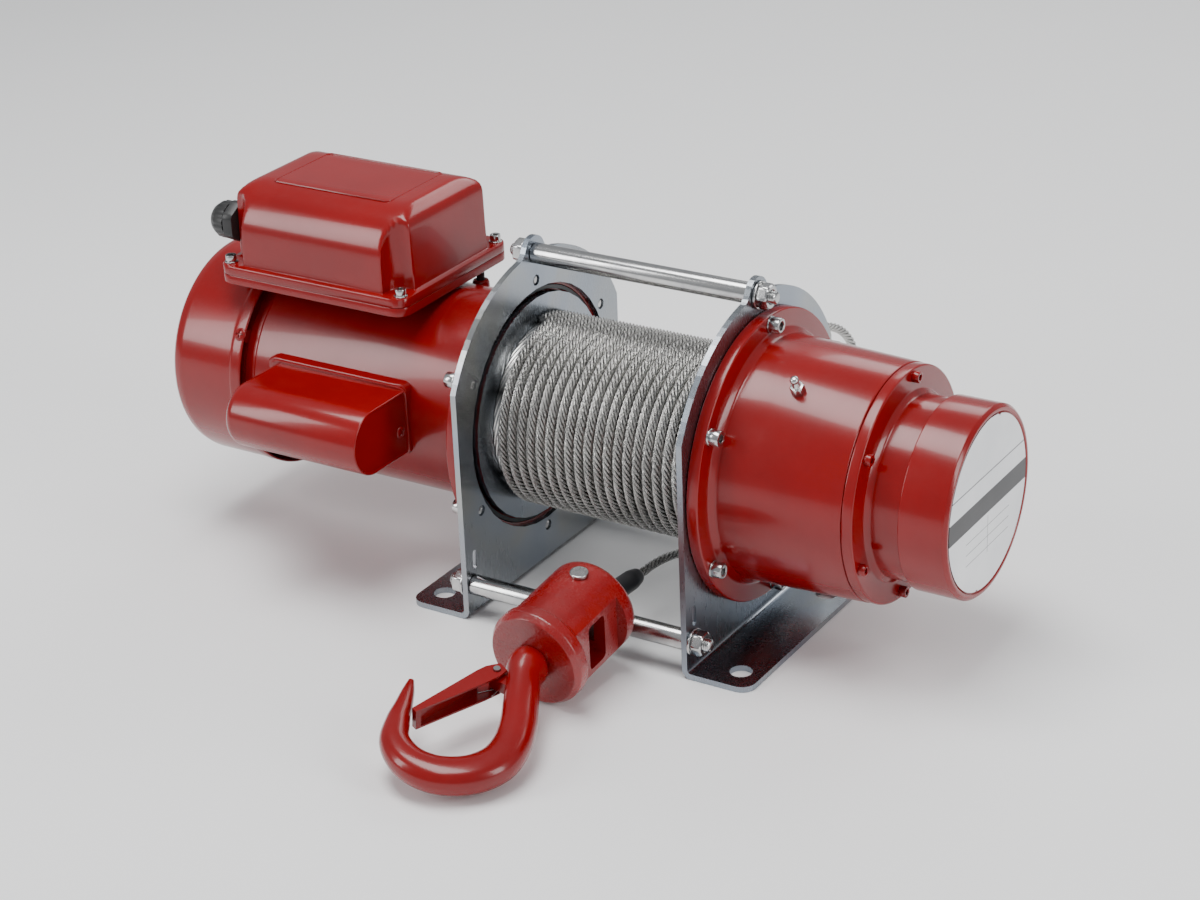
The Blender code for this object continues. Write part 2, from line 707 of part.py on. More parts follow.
def build_motor_flange(axis, looks):
    hub = DRUM_BEARING[0] - GAP
    hub_end = -DRUM_END + DRUM_BEARING[2] + 0.002
    bearing_back = -RECESS_FLOOR - 0.0088
    seat = MOTOR_BEARING[1] + GAP
    spigot = MOTOR_RADIUS - MOTOR_WALL - GAP
    profile = [
        (hub_end, SHAFT_RADIUS + RUNNING),
        (hub_end, hub),
        (-RECESS_FLOOR, hub),
        (-RECESS_FLOOR, FLANGE_RECESS),
        (-FLANGE_BACK, FLANGE_RECESS),
        (-FLANGE_BACK, FLANGE_RADIUS),
        (-FLANGE_FRONT, FLANGE_RADIUS),
        (-FLANGE_FRONT, spigot),
        (MOTOR_FRONT - 0.0095, spigot),
        (MOTOR_FRONT - 0.0095, seat + 0.006),
        (bearing_back - 0.0125, seat + 0.006),
        (bearing_back - 0.0125, seat),
        (bearing_back, seat),
        (bearing_back, SHAFT_RADIUS + RUNNING),
    ]
    place("motor_flange", turned(profile), looks["red"], axis)
    bearing = (bearing_back - GAP - MOTOR_BEARING[2], bearing_back - GAP)
    wall = tube_wall(bearing, *MOTOR_BEARING[:2])
    place("drive_end_bearing", turned(wall, MEDIUM), looks["steel"], axis)


def build_motor_body(axis, looks):
    """The motor's shell, with a seat for the terminal box, a pad for the capacitor and a lead boss."""
    wall = tube_wall((MOTOR_BACK, MOTOR_FRONT), MOTOR_RADIUS - MOTOR_WALL, MOTOR_RADIUS)
    body = place("motor_body", turned(wall), looks["red"], axis)
    seat_top = BOX_BASE_Z - GAP
    middle = (BOX_CENTRE_X, 0)
    seat_outline = rounded_rectangle(middle, (0.110, 0.080), 0.008, 3)
    seat = prism([seat_outline], MOTOR_RADIUS - 0.012, seat_top, "Z")
    boolean(body, helper("box_seat", seat, axis), "UNION")
    pad_outline = rounded_rectangle((CAPACITOR_CENTRE_X - 0.002, 0.0055), (0.131, 0.058), 0.006, 3)
    pad = prism([pad_outline], PAD_FACE_Y, -(MOTOR_RADIUS - 0.014), "Y")
    boolean(body, helper("capacitor_pad", pad, axis), "UNION")
    lead_x, lead_y = LEAD_PLACE
    boss = prism([ring_points((lead_x, lead_y), 0.0065, 18)], 0.066, 0.0755, "Z")
    boolean(body, helper("lead_boss", boss, axis), "UNION")
    bore = turned(tube_wall((MOTOR_BACK - 0.01, MOTOR_FRONT + 0.01), 1e-4, MOTOR_RADIUS - MOTOR_WALL))
    boolean(body, helper("stator_bore", bore, axis))
    lead_hole = prism([ring_points((lead_x, lead_y), LEAD_RADIUS + GAP, 12)], 0.06, 0.09, "Z")
    boolean(body, helper("lead_hole", lead_hole, axis))


def build_motor_inside(axis, looks):
    middle = (MOTOR_FRONT + MOTOR_BACK) / 2 - 0.006
    core = (middle - CORE_LENGTH / 2, middle + CORE_LENGTH / 2)
    stator = tube_wall(core, ROTOR_RADIUS + 0.0006, MOTOR_RADIUS - MOTOR_WALL - GAP)
    place("stator_core", turned(stator), looks["copper"], axis)
    rotor = tube_wall((core[0] - 0.002, core[1] + 0.002), MOTOR_SHAFT_RADIUS + GAP, ROTOR_RADIUS)
    place("rotor_core", turned(rotor), looks["steel"], axis)
    front = -RECESS_FLOOR - 0.0092 - GAP
    back = SHIELD_BACK - 0.050
    socket = SHAFT_RADIUS - 0.002 + GAP
    profile = [
        (back, 0),
        (back, MOTOR_SHAFT_RADIUS),
        (front, MOTOR_SHAFT_RADIUS),
        (front, socket),
        (front - 0.0155, socket),
        (front - 0.0155, 0),
    ]
    place("motor_shaft", turned(profile, SMALL), looks["steel"], axis)


def build_fan_end(axis, looks):
    """The shield that closes the motor, its bearing, the fan behind it and the fan's cover."""
    seat = MOTOR_BEARING[1] + GAP
    spigot = MOTOR_RADIUS - MOTOR_WALL - GAP
    inner_back = SHIELD_BACK + 0.003
    profile = [
        (SHIELD_BACK, MOTOR_SHAFT_RADIUS + RUNNING),
        (SHIELD_BACK, MOTOR_RADIUS - GAP),
        (SHIELD_FRONT, MOTOR_RADIUS - GAP),
        (SHIELD_FRONT, spigot),
        (SHIELD_FRONT + 0.008, spigot),
        (SHIELD_FRONT + 0.008, spigot - 0.007),
        (SHIELD_FRONT + 0.002, seat + 0.007),
        (SHIELD_FRONT + 0.009, seat + 0.007),
        (SHIELD_FRONT + 0.009, seat),
        (inner_back, seat),
        (inner_back, MOTOR_SHAFT_RADIUS + RUNNING),
    ]
    shield = place("fan_end_shield", turned(profile), looks["red"], axis)
    inside = FAN_COVER_RADIUS - FAN_COVER_WALL - RUNNING
    for index in range(3):
        angle = math.radians(150 + 120 * index)
        lug_outline = rounded_rectangle((inside - 0.008, 0), (0.016, 0.010), 0.002, 1)
        lug = prism([lug_outline], SHIELD_BACK, SHIELD_FRONT - 0.0005)
        bmesh.ops.rotate(lug, verts=lug.verts, cent=(0, 0, 0), matrix=Matrix.Rotation(angle, 3, "X"))
        boolean(shield, helper(f"cover_lug_{index + 1}", lug, axis), "UNION")
    bearing = (inner_back + GAP, inner_back + GAP + MOTOR_BEARING[2])
    wall = tube_wall(bearing, *MOTOR_BEARING[:2])
    place("fan_end_bearing", turned(wall, MEDIUM), looks["steel"], axis)
    build_fan(axis, looks["black"])
    build_fan_cover(axis, looks["red"])


def build_fan(axis, black):
    front = SHIELD_BACK - 0.010
    disc = tube_wall((front - 0.003, front), MOTOR_SHAFT_RADIUS + GAP, FAN_RADIUS)
    fan = place("cooling_fan", turned(disc, MEDIUM), black, axis)
    star = []
    for index in range(FAN_BLADES):
        middle = 360 * index / FAN_BLADES
        half = 180 / FAN_BLADES
        star += arc((0, 0), 0.020, middle - half, middle - 6, 1)
        star += arc((0, 0), FAN_RADIUS - 0.004, middle - 2, middle + 2, 1)
        star.append((0.020 * math.cos(math.radians(middle + 6)), 0.020 * math.sin(math.radians(middle + 6))))
    bore = ring_points((0, 0), MOTOR_SHAFT_RADIUS + GAP, SMALL)
    blades = prism([star, bore], front - 0.028, front - 0.0025)
    boolean(fan, helper("fan_blades", blades, axis), "UNION")


def build_fan_cover(axis, red):
    """A deep cup, open towards the motor, with rings of air slots in its end."""
    inside = FAN_COVER_RADIUS - FAN_COVER_WALL
    edge = 0.009
    centre = (FAN_COVER_END + edge, FAN_COVER_RADIUS - edge)
    corner = [(x, r) for x, r in reversed(arc(centre, edge, 90, 180, 3))]
    inner_corner = [(x, r) for x, r in arc(centre, edge - FAN_COVER_WALL, 90, 180, 1)]
    profile = [(FAN_COVER_END, 0), *corner, (FAN_COVER_LIP, FAN_COVER_RADIUS), (FAN_COVER_LIP, inside)]
    profile += [*inner_corner, (FAN_COVER_END + FAN_COVER_WALL, 0)]
    cover = place("fan_cover", turned(profile), red, axis)
    for ring, (radius, count) in enumerate([(0.030, 6), (0.055, 6)]):
        slots = bmesh.new()
        for index in range(count):
            start = 360 * index / count + 8
            end = 360 * (index + 1) / count - 8
            outline = arc((0, 0), radius + 0.005, start, end, 3)
            outline += arc((0, 0), radius - 0.005, end, start, 3)
            slot = prism([outline], FAN_COVER_END - 0.01, FAN_COVER_END + 0.01)
            whole = bpy.data.meshes.new("slot")
            slot.to_mesh(whole)
            slots.from_mesh(whole)
            slot.free()
            bpy.data.meshes.remove(whole)
        boolean(cover, helper(f"air_slots_{ring + 1}", slots, axis))


def build_motor(axis, looks):
    build_motor_flange(axis, looks)
    build_motor_body(axis, looks)
    build_motor_inside(axis, looks)
    build_fan_end(axis, looks)


# ---------------------------------------------------------------- terminal box and capacitor


def box_section(height, inset, corner):
    size = (BOX_SIZE[0] - 2 * inset[0], BOX_SIZE[1] - 2 * inset[1])
    return flat_section(rounded_rectangle((BOX_CENTRE_X, 0), size, corner, 4), height)


def cover_wall_inset(height, wall):
    """How far the cover's sides stand in from the flange's edge: their draft and round shoulders."""
    draft = 0.03 * (height - BOX_BASE_Z)
    insets = []
    for side, shoulder in zip(BOX_INSET, BOX_SHOULDER):
        radius = shoulder - wall
        rise = min(max(0.0, height - (BOX_TOP_Z - shoulder)), radius)
        insets.append(side + draft + wall + radius - math.sqrt(radius**2 - rise**2))
    return insets


def build_box_cover(axis, red):
    """A drawn cover with a flange, and a flute down each corner for its screw."""
    flange_z = BOX_BASE_Z + BOX_BASE_HEIGHT + GAP
    flange_top = flange_z + BOX_FLANGE_HEIGHT
    low_shoulder = BOX_TOP_Z - max(BOX_SHOULDER)
    shares = (0.0, 0.35, 0.65, 0.86, 0.97, 1.0)
    outer = [low_shoulder + share * (BOX_TOP_Z - low_shoulder) for share in shares]
    inner = [height - BOX_WALL for height in reversed(outer)]
    sections = [
        box_section(height, cover_wall_inset(height, BOX_WALL), BOX_INNER_CORNER)
        for height in inner + [flange_z]
    ]
    sections.append(box_section(flange_z, (0, 0), BOX_CORNER))
    sections.append(box_section(flange_top - 0.001, (0, 0), BOX_CORNER))
    sections.append(box_section(flange_top, (0.001, 0.001), BOX_CORNER - 0.001))
    for height in [flange_top] + outer:
        sections.append(box_section(height, cover_wall_inset(height, 0), BOX_CORNER))
    cover = place("terminal_box_cover", lofted(sections), red, axis)
    gland_hole = prism([ring_points(GLAND_PLACE, 0.0082 + GAP, SMALL)], FAN_COVER_END, BOX_CENTRE_X, "X")
    boolean(cover, helper("gland_hole", gland_hole, axis))
    across, along = BOX_SCREWS
    for index, (side_x, side_y) in enumerate([(-1, -1), (1, -1), (-1, 1), (1, 1)]):
        spot = (BOX_CENTRE_X + side_x * across, side_y * along)
        flute = prism([ring_points(spot, BOX_FLUTE, SMALL)], flange_top + GAP, BOX_TOP_Z + 0.01, "Z")
        boolean(cover, helper(f"corner_flute_{index + 1}", flute, axis))


def build_box(axis, looks):
    base_top = BOX_BASE_Z + BOX_BASE_HEIGHT
    sections = [
        box_section(BOX_BASE_Z + 0.0025, (0.006, 0.006), BOX_CORNER - 0.004),
        box_section(base_top, (0.006, 0.006), BOX_CORNER - 0.004),
        box_section(base_top, (0, 0), BOX_CORNER),
        box_section(BOX_BASE_Z, (0, 0), BOX_CORNER),
    ]
    base = place("terminal_box_base", lofted(sections), looks["red"], axis)
    hole = prism([ring_points(LEAD_PLACE, LEAD_RADIUS + GAP, 12)], 0.07, 0.10, "Z")
    boolean(base, helper("base_lead_hole", hole, axis))
    left = BOX_CENTRE_X - BOX_SIZE[0] / 2 - 0.01
    crown = [(left, 0), (left, FAN_COVER_RADIUS + 0.0006)]
    crown += [(FAN_COVER_LIP + RUNNING, FAN_COVER_RADIUS + 0.0006), (FAN_COVER_LIP + RUNNING, 0)]
    boolean(base, helper("fan_cover_relief", turned(crown), axis))
    build_box_cover(axis, looks["red"])
    floor = BOX_BASE_Z + 0.0025 + GAP
    switch = prism([rounded_rectangle((BOX_CENTRE_X, 0), (0.058, 0.046), 0.003, 2)], floor, floor + 0.052, "Z")
    place("contactor", switch, looks["black"], axis)
    lead_top = BOX_BASE_Z + BOX_BASE_HEIGHT - 0.002
    lead = turned([(0.0665, 0), (0.0665, LEAD_RADIUS), (lead_top, LEAD_RADIUS), (lead_top, 0)], 12)
    upright = Matrix.Rotation(-math.pi / 2, 4, "Y")
    bmesh.ops.transform(lead, matrix=upright, verts=lead.verts)
    place("motor_lead", lead, looks["black"], axis, (*LEAD_PLACE, 0))
    build_gland(axis, looks["black"])


def build_gland(axis, black):
    """The supply lead's gland: a hexagon against the box, a domed nut and a lead hole."""
    inset = cover_wall_inset(GLAND_PLACE[1], 0)[0]
    face = BOX_CENTRE_X - BOX_SIZE[0] / 2 + inset - 0.0008
    end = face - GLAND_LENGTH
    hole = 0.0055
    dome = GLAND_FLATS / 2
    profile = [
        (face + 0.008, hole),
        (face + 0.008, 0.0082),
        (face, 0.0082),
        (face, dome + 0.001),
        (face - 0.009, dome + 0.001),
        (face - 0.010, dome - 0.001),
        (face - 0.019, dome - 0.001),
        (face - 0.025, dome - 0.005),
        (end, hole + 0.002),
        (end, hole),
    ]
    place("cable_gland", turned(profile, SMALL), black, axis, (0, *GLAND_PLACE))


def capacitor_outline(wall):
    """The cover's D shape in the Y-Z plane: flat above and below, round in front."""
    radius = CAPACITOR_COVER_RADIUS - wall
    nose = arc(CAPACITOR_AXIS, radius, 90, 270, 14)
    back = PAD_FACE_Y - GAP
    return [(back, CAPACITOR_AXIS[1] + radius)] + nose + [(back, CAPACITOR_AXIS[1] - radius)]


def build_capacitor(axis, looks):
    half = CAPACITOR_COVER_LENGTH / 2
    low, high = CAPACITOR_CENTRE_X - half, CAPACITOR_CENTRE_X + half
    rounding = 0.0025
    near, far = [], []
    for turn in (0, math.pi / 6, math.pi / 3, math.pi / 2):
        inwards = rounding * (1 - math.cos(turn))
        outline = capacitor_outline(rounding * (1 - math.sin(turn)))
        near.append([(low + inwards, y, z) for y, z in outline])
        far.append([(high - inwards, y, z) for y, z in outline])
    cover = place("capacitor_cover", lofted(near + far[::-1]), looks["red"], axis)
    inner = [(y, z) for y, z in capacitor_outline(CAPACITOR_WALL)]
    inner[0] = (PAD_FACE_Y + 0.01, inner[0][1])
    inner[-1] = (PAD_FACE_Y + 0.01, inner[-1][1])
    pocket = prism([inner], low + CAPACITOR_WALL, high - CAPACITOR_WALL)
    boolean(cover, helper("capacitor_pocket", pocket, axis))
    can_half = CAPACITOR_LENGTH / 2
    can = [(-can_half, 0), (-can_half, CAPACITOR_RADIUS), (can_half, CAPACITOR_RADIUS), (can_half, 0)]
    spot = (CAPACITOR_CENTRE_X, CAPACITOR_AXIS[0], CAPACITOR_AXIS[1])
    place("start_capacitor", turned(can, 24), looks["black"], axis, spot)


# ---------------------------------------------------------------- hook block and hook


def build_block(frame, looks):
    """A turned block along Y with flats, a window through its sides and a slot at the back."""
    radius = BLOCK_RADIUS
    collar_end = -BLOCK_FRONT + BLOCK_COLLAR_LENGTH
    back = [(BLOCK_BACK - BLOCK_EDGE + x, r) for x, r in arc((0, radius - BLOCK_EDGE), BLOCK_EDGE, 90, 0, 3)]
    profile = [
        (-BLOCK_FRONT, 0),
        (-BLOCK_FRONT, radius - 0.001),
        (-BLOCK_FRONT + 0.005, BLOCK_COLLAR_RADIUS),
        (collar_end - 0.002, BLOCK_COLLAR_RADIUS),
        (collar_end, radius),
    ]
    profile += back + [(BLOCK_BACK, 0)]
    bm = turned(profile, 36)
    bmesh.ops.rotate(bm, verts=bm.verts, cent=(0, 0, 0), matrix=Matrix.Rotation(math.pi / 2, 3, "Z"))
    block = place("hook_block", bm, looks["red"], frame)
    collar = collar_end
    flat_end = WINDOW_SPAN[1] - 0.026
    for side in (-1, 1):
        low, high = sorted((side * FLAT_HALF_WIDTH, side * (radius + 0.01)))
        outline = [(low, collar), (high, collar), (high, flat_end), (low, flat_end)]
        flat = prism([outline], -radius - 0.01, radius + 0.01, "Z")
        boolean(block, helper(f"block_flat_{side + 2}", flat, frame))
    centre = (-(WINDOW_SPAN[0] + WINDOW_SPAN[1]) / 2, 0)
    size = (WINDOW_SPAN[1] - WINDOW_SPAN[0], 2 * WINDOW_HALF_HEIGHT)
    window = prism([rounded_rectangle(centre, size, 0.004, 3)], -radius - 0.01, radius + 0.01)
    boolean(block, helper("block_window", window, frame))
    half_x, half_z = REAR_SLOT
    start, end = -WINDOW_SPAN[0] - 0.003, BLOCK_BACK + 0.01
    slot_outline = [(-half_x, start), (half_x, start), (half_x, end), (-half_x, end)]
    boolean(block, helper("rear_slot", prism([slot_outline], -half_z, half_z, "Z"), frame))
    pin_hole = prism([ring_points((0, 0), PIN_RADIUS + GAP, 20)], -radius - 0.01, radius + 0.01, "Z")
    boolean(block, helper("pin_hole", pin_hole, frame))
    shank_hole = prism([ring_points((0, 0), SHANK_RADIUS + GAP, 20)], -BLOCK_FRONT - 0.01, -0.02, "Y")
    boolean(block, helper("shank_hole", shank_hole, frame))
    pin = [
        (-radius - 0.0005, 0),
        (-radius - 0.0005, PIN_RADIUS),
        (radius + GAP, PIN_RADIUS),
        (radius + GAP, PIN_HEAD_RADIUS),
        (radius + 0.003, PIN_HEAD_RADIUS),
        (radius + 0.003, 0),
    ]
    bm = turned(pin, 20)
    bmesh.ops.rotate(bm, verts=bm.verts, cent=(0, 0, 0), matrix=Matrix.Rotation(-math.pi / 2, 3, "Y"))
    place("clevis_pin", bm, looks["bright"], frame)


# The hook's centre line in its own plane: (forward, towards the tip, half width, half thickness)
HOOK_LINE = (
    (0.0, 0.0, 0.0128, 0.0128),
    (0.010, -0.0015, 0.0132, 0.0130),
    (0.022, -0.0070, 0.0122, 0.0120),
    (0.040, -0.0175, 0.0126, 0.0112),
    (0.060, -0.0290, 0.0132, 0.0112),
    (0.080, -0.0368, 0.0138, 0.0114),
    (0.100, -0.0385, 0.0144, 0.0116),
    (0.1185, -0.0295, 0.0144, 0.0116),
    (0.1310, -0.0115, 0.0140, 0.0114),
    (0.1325, 0.0095, 0.0128, 0.0108),
    (0.1228, 0.0290, 0.0110, 0.0100),
    (0.1062, 0.0397, 0.0088, 0.0088),
    (0.0900, 0.0465, 0.0066, 0.0068),
    (0.0760, 0.0527, 0.0050, 0.0052),
    (0.0655, 0.0578, 0.0030, 0.0030),
)


def smooth_points(points, count):
    """Evenly stepped points on the Catmull-Rom curve through the given ones, any number of columns."""
    padded = [points[0], *points, points[-1]]
    found = []
    for step in range(count + 1):
        place_on = min(step * (len(points) - 1) / count, len(points) - 1 - 1e-9)
        index = int(place_on)
        t = place_on - index
        a, b, c, d = padded[index : index + 4]
        row = []
        for p, q, r, s in zip(a, b, c, d):
            cubic = 2 * q + (r - p) * t + (2 * p - 5 * q + 4 * r - s) * t * t + (3 * q - p - 3 * r + s) * t**3
            row.append(0.5 * cubic)
        found.append(tuple(row))
    return found


def hook_sections():
    """Rings round the hook's centre line, flattened a little across the hook's plane."""
    rows = smooth_points(HOOK_LINE, 32)
    rings = []
    for index, (forward, side, width, thickness) in enumerate(rows):
        before, after = rows[max(index - 1, 0)], rows[min(index + 1, len(rows) - 1)]
        along = Vector((after[0] - before[0], after[1] - before[1])).normalized()
        if index < 2:
            along = Vector((1, 0))
        across = Vector((-along.y, along.x))
        ring = []
        for step in range(12):
            angle = 2 * math.pi * step / 12
            reach = width * math.cos(angle)
            point = Vector((forward, side)) + across * reach
            ring.append((-point.y, -point.x, thickness * math.sin(angle)))
        rings.append(ring)
    return rings


def to_hook_plane(forward, side):
    return (-side, -forward)


def build_hook(frame, looks):
    hook = place("hook", lofted(hook_sections()), looks["red"], frame)
    inner = BLOCK_FRONT - WINDOW_SPAN[1]
    shank_profile = [(-0.002, 0), (-0.002, SHANK_RADIUS), (inner + 0.011, SHANK_RADIUS), (inner + 0.011, 0)]
    shank = turned(shank_profile, 20)
    bmesh.ops.rotate(shank, verts=shank.verts, cent=(0, 0, 0), matrix=Matrix.Rotation(math.pi / 2, 3, "Z"))
    boolean(hook, helper("hook_shank", shank, frame), "UNION")
    ahead, beside = LATCH_PIVOT
    lug_outline = [to_hook_plane(ahead + across, -0.006) for across in (-0.0066, 0.0066)]
    lug_outline += [
        to_hook_plane(ahead + x, beside + y) for x, y in arc((0, 0), 0.0062, 0, 180, 8)
    ]
    lug = prism([lug_outline], -0.005, 0.005, "Z")
    boolean(hook, helper("latch_lug", lug, frame), "UNION")
    rivet_bore = ring_points(to_hook_plane(*LATCH_PIVOT), RIVET_RADIUS + GAP, 14)
    boolean(hook, helper("lug_bore", prism([rivet_bore], -0.02, 0.02, "Z"), frame))
    nut = turned(tube_wall((inner + GAP, inner + 0.009), SHANK_RADIUS + GAP, 0.0145), 24)
    bmesh.ops.rotate(nut, verts=nut.verts, cent=(0, 0, 0), matrix=Matrix.Rotation(math.pi / 2, 3, "Z"))
    place("hook_nut", nut, looks["steel"], frame)
    half = LATCH_HEIGHT / 2 + 0.0015
    rivet = prism([ring_points(to_hook_plane(*LATCH_PIVOT), RIVET_RADIUS, 14)], -half, half, "Z")
    place("latch_rivet", rivet, looks["bright"], frame)


def build_latch(frame, looks):
    """A bent sheet channel: its web spans the hook's mouth and its two ears hold the rivet."""
    pivot = Vector(to_hook_plane(*LATCH_PIVOT))
    tip = Vector(to_hook_plane(*LATCH_END))
    along = (tip - pivot).normalized()
    inward = Vector((-along.y, along.x))
    length = (tip - pivot).length

    def at(distance, depth):
        point = along * distance + inward * depth
        return (point.x, point.y)

    ear = LATCH_HEIGHT / 2
    side_profile = [
        at(-0.006, -0.004),
        at(0.004, -0.0075),
        at(0.012, -0.0075),
        at(length, -0.002),
        at(length, 0.0025),
        at(0.014, 0.0065),
        at(0.002, 0.0065),
        at(-0.0055, 0.0045),
    ]
    channel = prism([side_profile], -ear, ear, "Z")
    latch = place("latch", channel, looks["red"], frame, (pivot.x, pivot.y, 0))
    hollow_profile = [
        at(-0.02, -0.02),
        at(0.0075, -0.02),
        at(0.0125, -0.006),
        at(length - 0.004, -0.0005),
        at(length - 0.004, 0.02),
        at(-0.02, 0.02),
    ]
    hollow = prism([hollow_profile], -ear + LATCH_SHEET, ear - LATCH_SHEET, "Z")
    boolean(latch, helper("latch_hollow", hollow, frame, (pivot.x, pivot.y, 0)))
    bore = prism([ring_points((0, 0), RIVET_RADIUS + GAP, 14)], -0.02, 0.02, "Z")
    boolean(latch, helper("latch_bore", bore, frame, (pivot.x, pivot.y, 0)))


def build_rope_end(frame, looks):
    """The thimble in the rope's eye, on the clevis pin, and the ferrule behind it."""
    neck = FERRULE_SPAN[0] - 0.0005
    side = math.degrees(math.acos((THIMBLE_RADIUS - 0.0055) / neck))
    outline = arc((0, 0), THIMBLE_RADIUS, 90 + side, 450 - side, 20)
    outline += [(0.0055, neck), (-0.0055, neck)]
    bore = ring_points((0, 0), PIN_RADIUS + 0.0011, 20)
    half = THIMBLE_THICKNESS / 2
    place("thimble", prism([outline, bore], -half, half, "Z"), looks["black"], frame)
    start, end = FERRULE_SPAN
    profile = [
        (start, 0),
        (start, FERRULE_RADIUS - 0.001),
        (start + 0.001, FERRULE_RADIUS),
        (end - 0.010, FERRULE_RADIUS),
        (end - 0.002, FERRULE_RADIUS - 0.0015),
        (end, FERRULE_RADIUS - 0.003),
        (end, 0),
    ]
    ferrule = turned(profile, 20)
    bmesh.ops.rotate(ferrule, verts=ferrule.verts, cent=(0, 0, 0), matrix=Matrix.Rotation(math.pi / 2, 3, "Z"))
    place("ferrule", ferrule, looks["black"], frame)


# The free rope's route, from the top of the winding round the back to the ferrule.
# Each point is (x, y, z) from the point on the floor below the drum's middle.
ROPE_ROUTE = (
    (0.0860, 0.0000, 0.2124),
    (0.0862, 0.0165, 0.2109),
    (0.0864, 0.0400, 0.2060),
    (0.0868, 0.0640, 0.2003),
    (0.0872, 0.0880, 0.1950),
    (0.0880, 0.1090, 0.1903),
    (0.0884, 0.1330, 0.1815),
    (0.0880, 0.1530, 0.1690),
    (0.0868, 0.1695, 0.1510),
    (0.0845, 0.1800, 0.1280),
    (0.0815, 0.1835, 0.1020),
    (0.0775, 0.1805, 0.0760),
    (0.0725, 0.1700, 0.0500),
    (0.0665, 0.1515, 0.0265),
    (0.0600, 0.1270, 0.0105),
    (0.0525, 0.0990, 0.0045),
    (0.0450, 0.0720, 0.0085),
    (0.0385, 0.0450, 0.0185),
    (0.0330, 0.0180, 0.0292),
    (0.0298, -0.0080, 0.0380),
    (0.0292, -0.0320, 0.0435),
    (0.0295, -0.0500, 0.0458),
)


def rope_points(route, end, direction, spacing):
    """Points at even steps along the smooth curve through the route and into the ferrule."""
    controls = list(route) + [tuple(end - direction * 0.008), tuple(end)]
    fine = [Vector(p) for p in smooth_points(controls, 12 * (len(controls) - 1))]
    total = sum((b - a).length for a, b in zip(fine, fine[1:]))
    steps = max(2, round(total / spacing))
    chosen = [fine[0]]
    walked = 0.0
    target = total / steps
    for a, b in zip(fine, fine[1:]):
        length = (b - a).length
        while walked + length >= target - 1e-12 and len(chosen) < steps:
            chosen.append(a.lerp(b, (target - walked) / length))
            target += total / steps
        walked += length
    chosen.append(fine[-1])
    return chosen


def build_rope_tail(floor, rope_frame_matrix, rope):
    """The stretch of rope between the winding and the ferrule, as a round tube."""
    end = rope_frame_matrix @ Vector((0, FERRULE_SPAN[1] + 0.0007, 0))
    direction = -(rope_frame_matrix.to_3x3() @ Vector((0, 1, 0))).normalized()
    points = rope_points(ROPE_ROUTE, end, direction, 5 * ROPE_RADIUS)
    curve = bpy.data.curves.new("rope_tail", "CURVE")
    curve.dimensions = "3D"
    curve.bevel_depth = ROPE_RADIUS
    curve.bevel_resolution = 2
    curve.use_fill_caps = True
    spline = curve.splines.new("POLY")
    spline.points.add(len(points) - 1)
    for target, point in zip(spline.points, points):
        target.co = (*point, 1.0)
    curve.materials.append(rope)
    tail = bpy.data.objects.new("rope_tail", curve)
    bpy.context.scene.collection.objects.link(tail)
    tail.parent = floor


def build_hook_gear(floor, looks):
    block = frame_empty("hook_block_frame", floor, BLOCK_PIN, (BLOCK_PITCH, BLOCK_ROLL, BLOCK_YAW))
    build_block(block, looks)
    hook = frame_empty("hook_frame", block, (0, -BLOCK_FRONT - GAP, 0), (0, HOOK_ROLL, 0))
    build_hook(hook, looks)
    build_latch(hook, looks)
    rope_end = frame_empty("rope_end_frame", floor, BLOCK_PIN, (0, 0, -ROPE_YAW))
    build_rope_end(rope_end, looks)
    turn = Matrix.Rotation(math.radians(-ROPE_YAW), 4, "Z")
    build_rope_tail(floor, Matrix.Translation(BLOCK_PIN) @ turn, looks["rope"])


def main():
    clear_scene()
    finish("cutter", BLACK, 0.5, 0.0)
    looks = {
        "red": finish("red_paint", RED, 0.25, 0.0),
        "zinc": finish("zinc_plate", ZINC, 0.35, 0.9),
        "bright": finish("bright_steel", STEEL, 0.2, 1.0),
        "steel": finish("machined_steel", STEEL, 0.4, 0.9),
        "rope": finish("rope_wire", ROPE_GREY, 0.35, 0.9),
        "black": finish("black_plastic", BLACK, 0.45, 0.0),
        "copper": finish("stator_windings", COPPER, 0.4, 0.8),
    }
    floor = frame_empty("floor_frame", None, (-CENTRE_X, -CENTRE_Y, 0))
    axis = frame_empty("drum_axis", floor, (0, 0, AXIS_HEIGHT))
    build_frame(axis, looks)
    build_drum(axis, looks)
    build_carriers(axis, looks["steel"])
    build_planets("first", STAGE_1_X, axis, looks["steel"])
    build_planets("second", STAGE_2_X, axis, looks["steel"])
    build_ring(axis, looks["steel"])
    build_drive_shaft(axis, looks["steel"])
    build_gearbox(axis, looks)
    build_motor(axis, looks)
    build_box(axis, looks)
    build_capacitor(axis, looks)
    build_hook_gear(floor, looks)


main()
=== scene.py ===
"""Looks of the electric wire rope puller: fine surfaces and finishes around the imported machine."""

import json
import logging
import math
from dataclasses import dataclass, field
from enum import Enum
from typing import Any, Optional, Sequence

import bmesh
import bpy
import numpy as np
from mathutils import Matrix, Vector

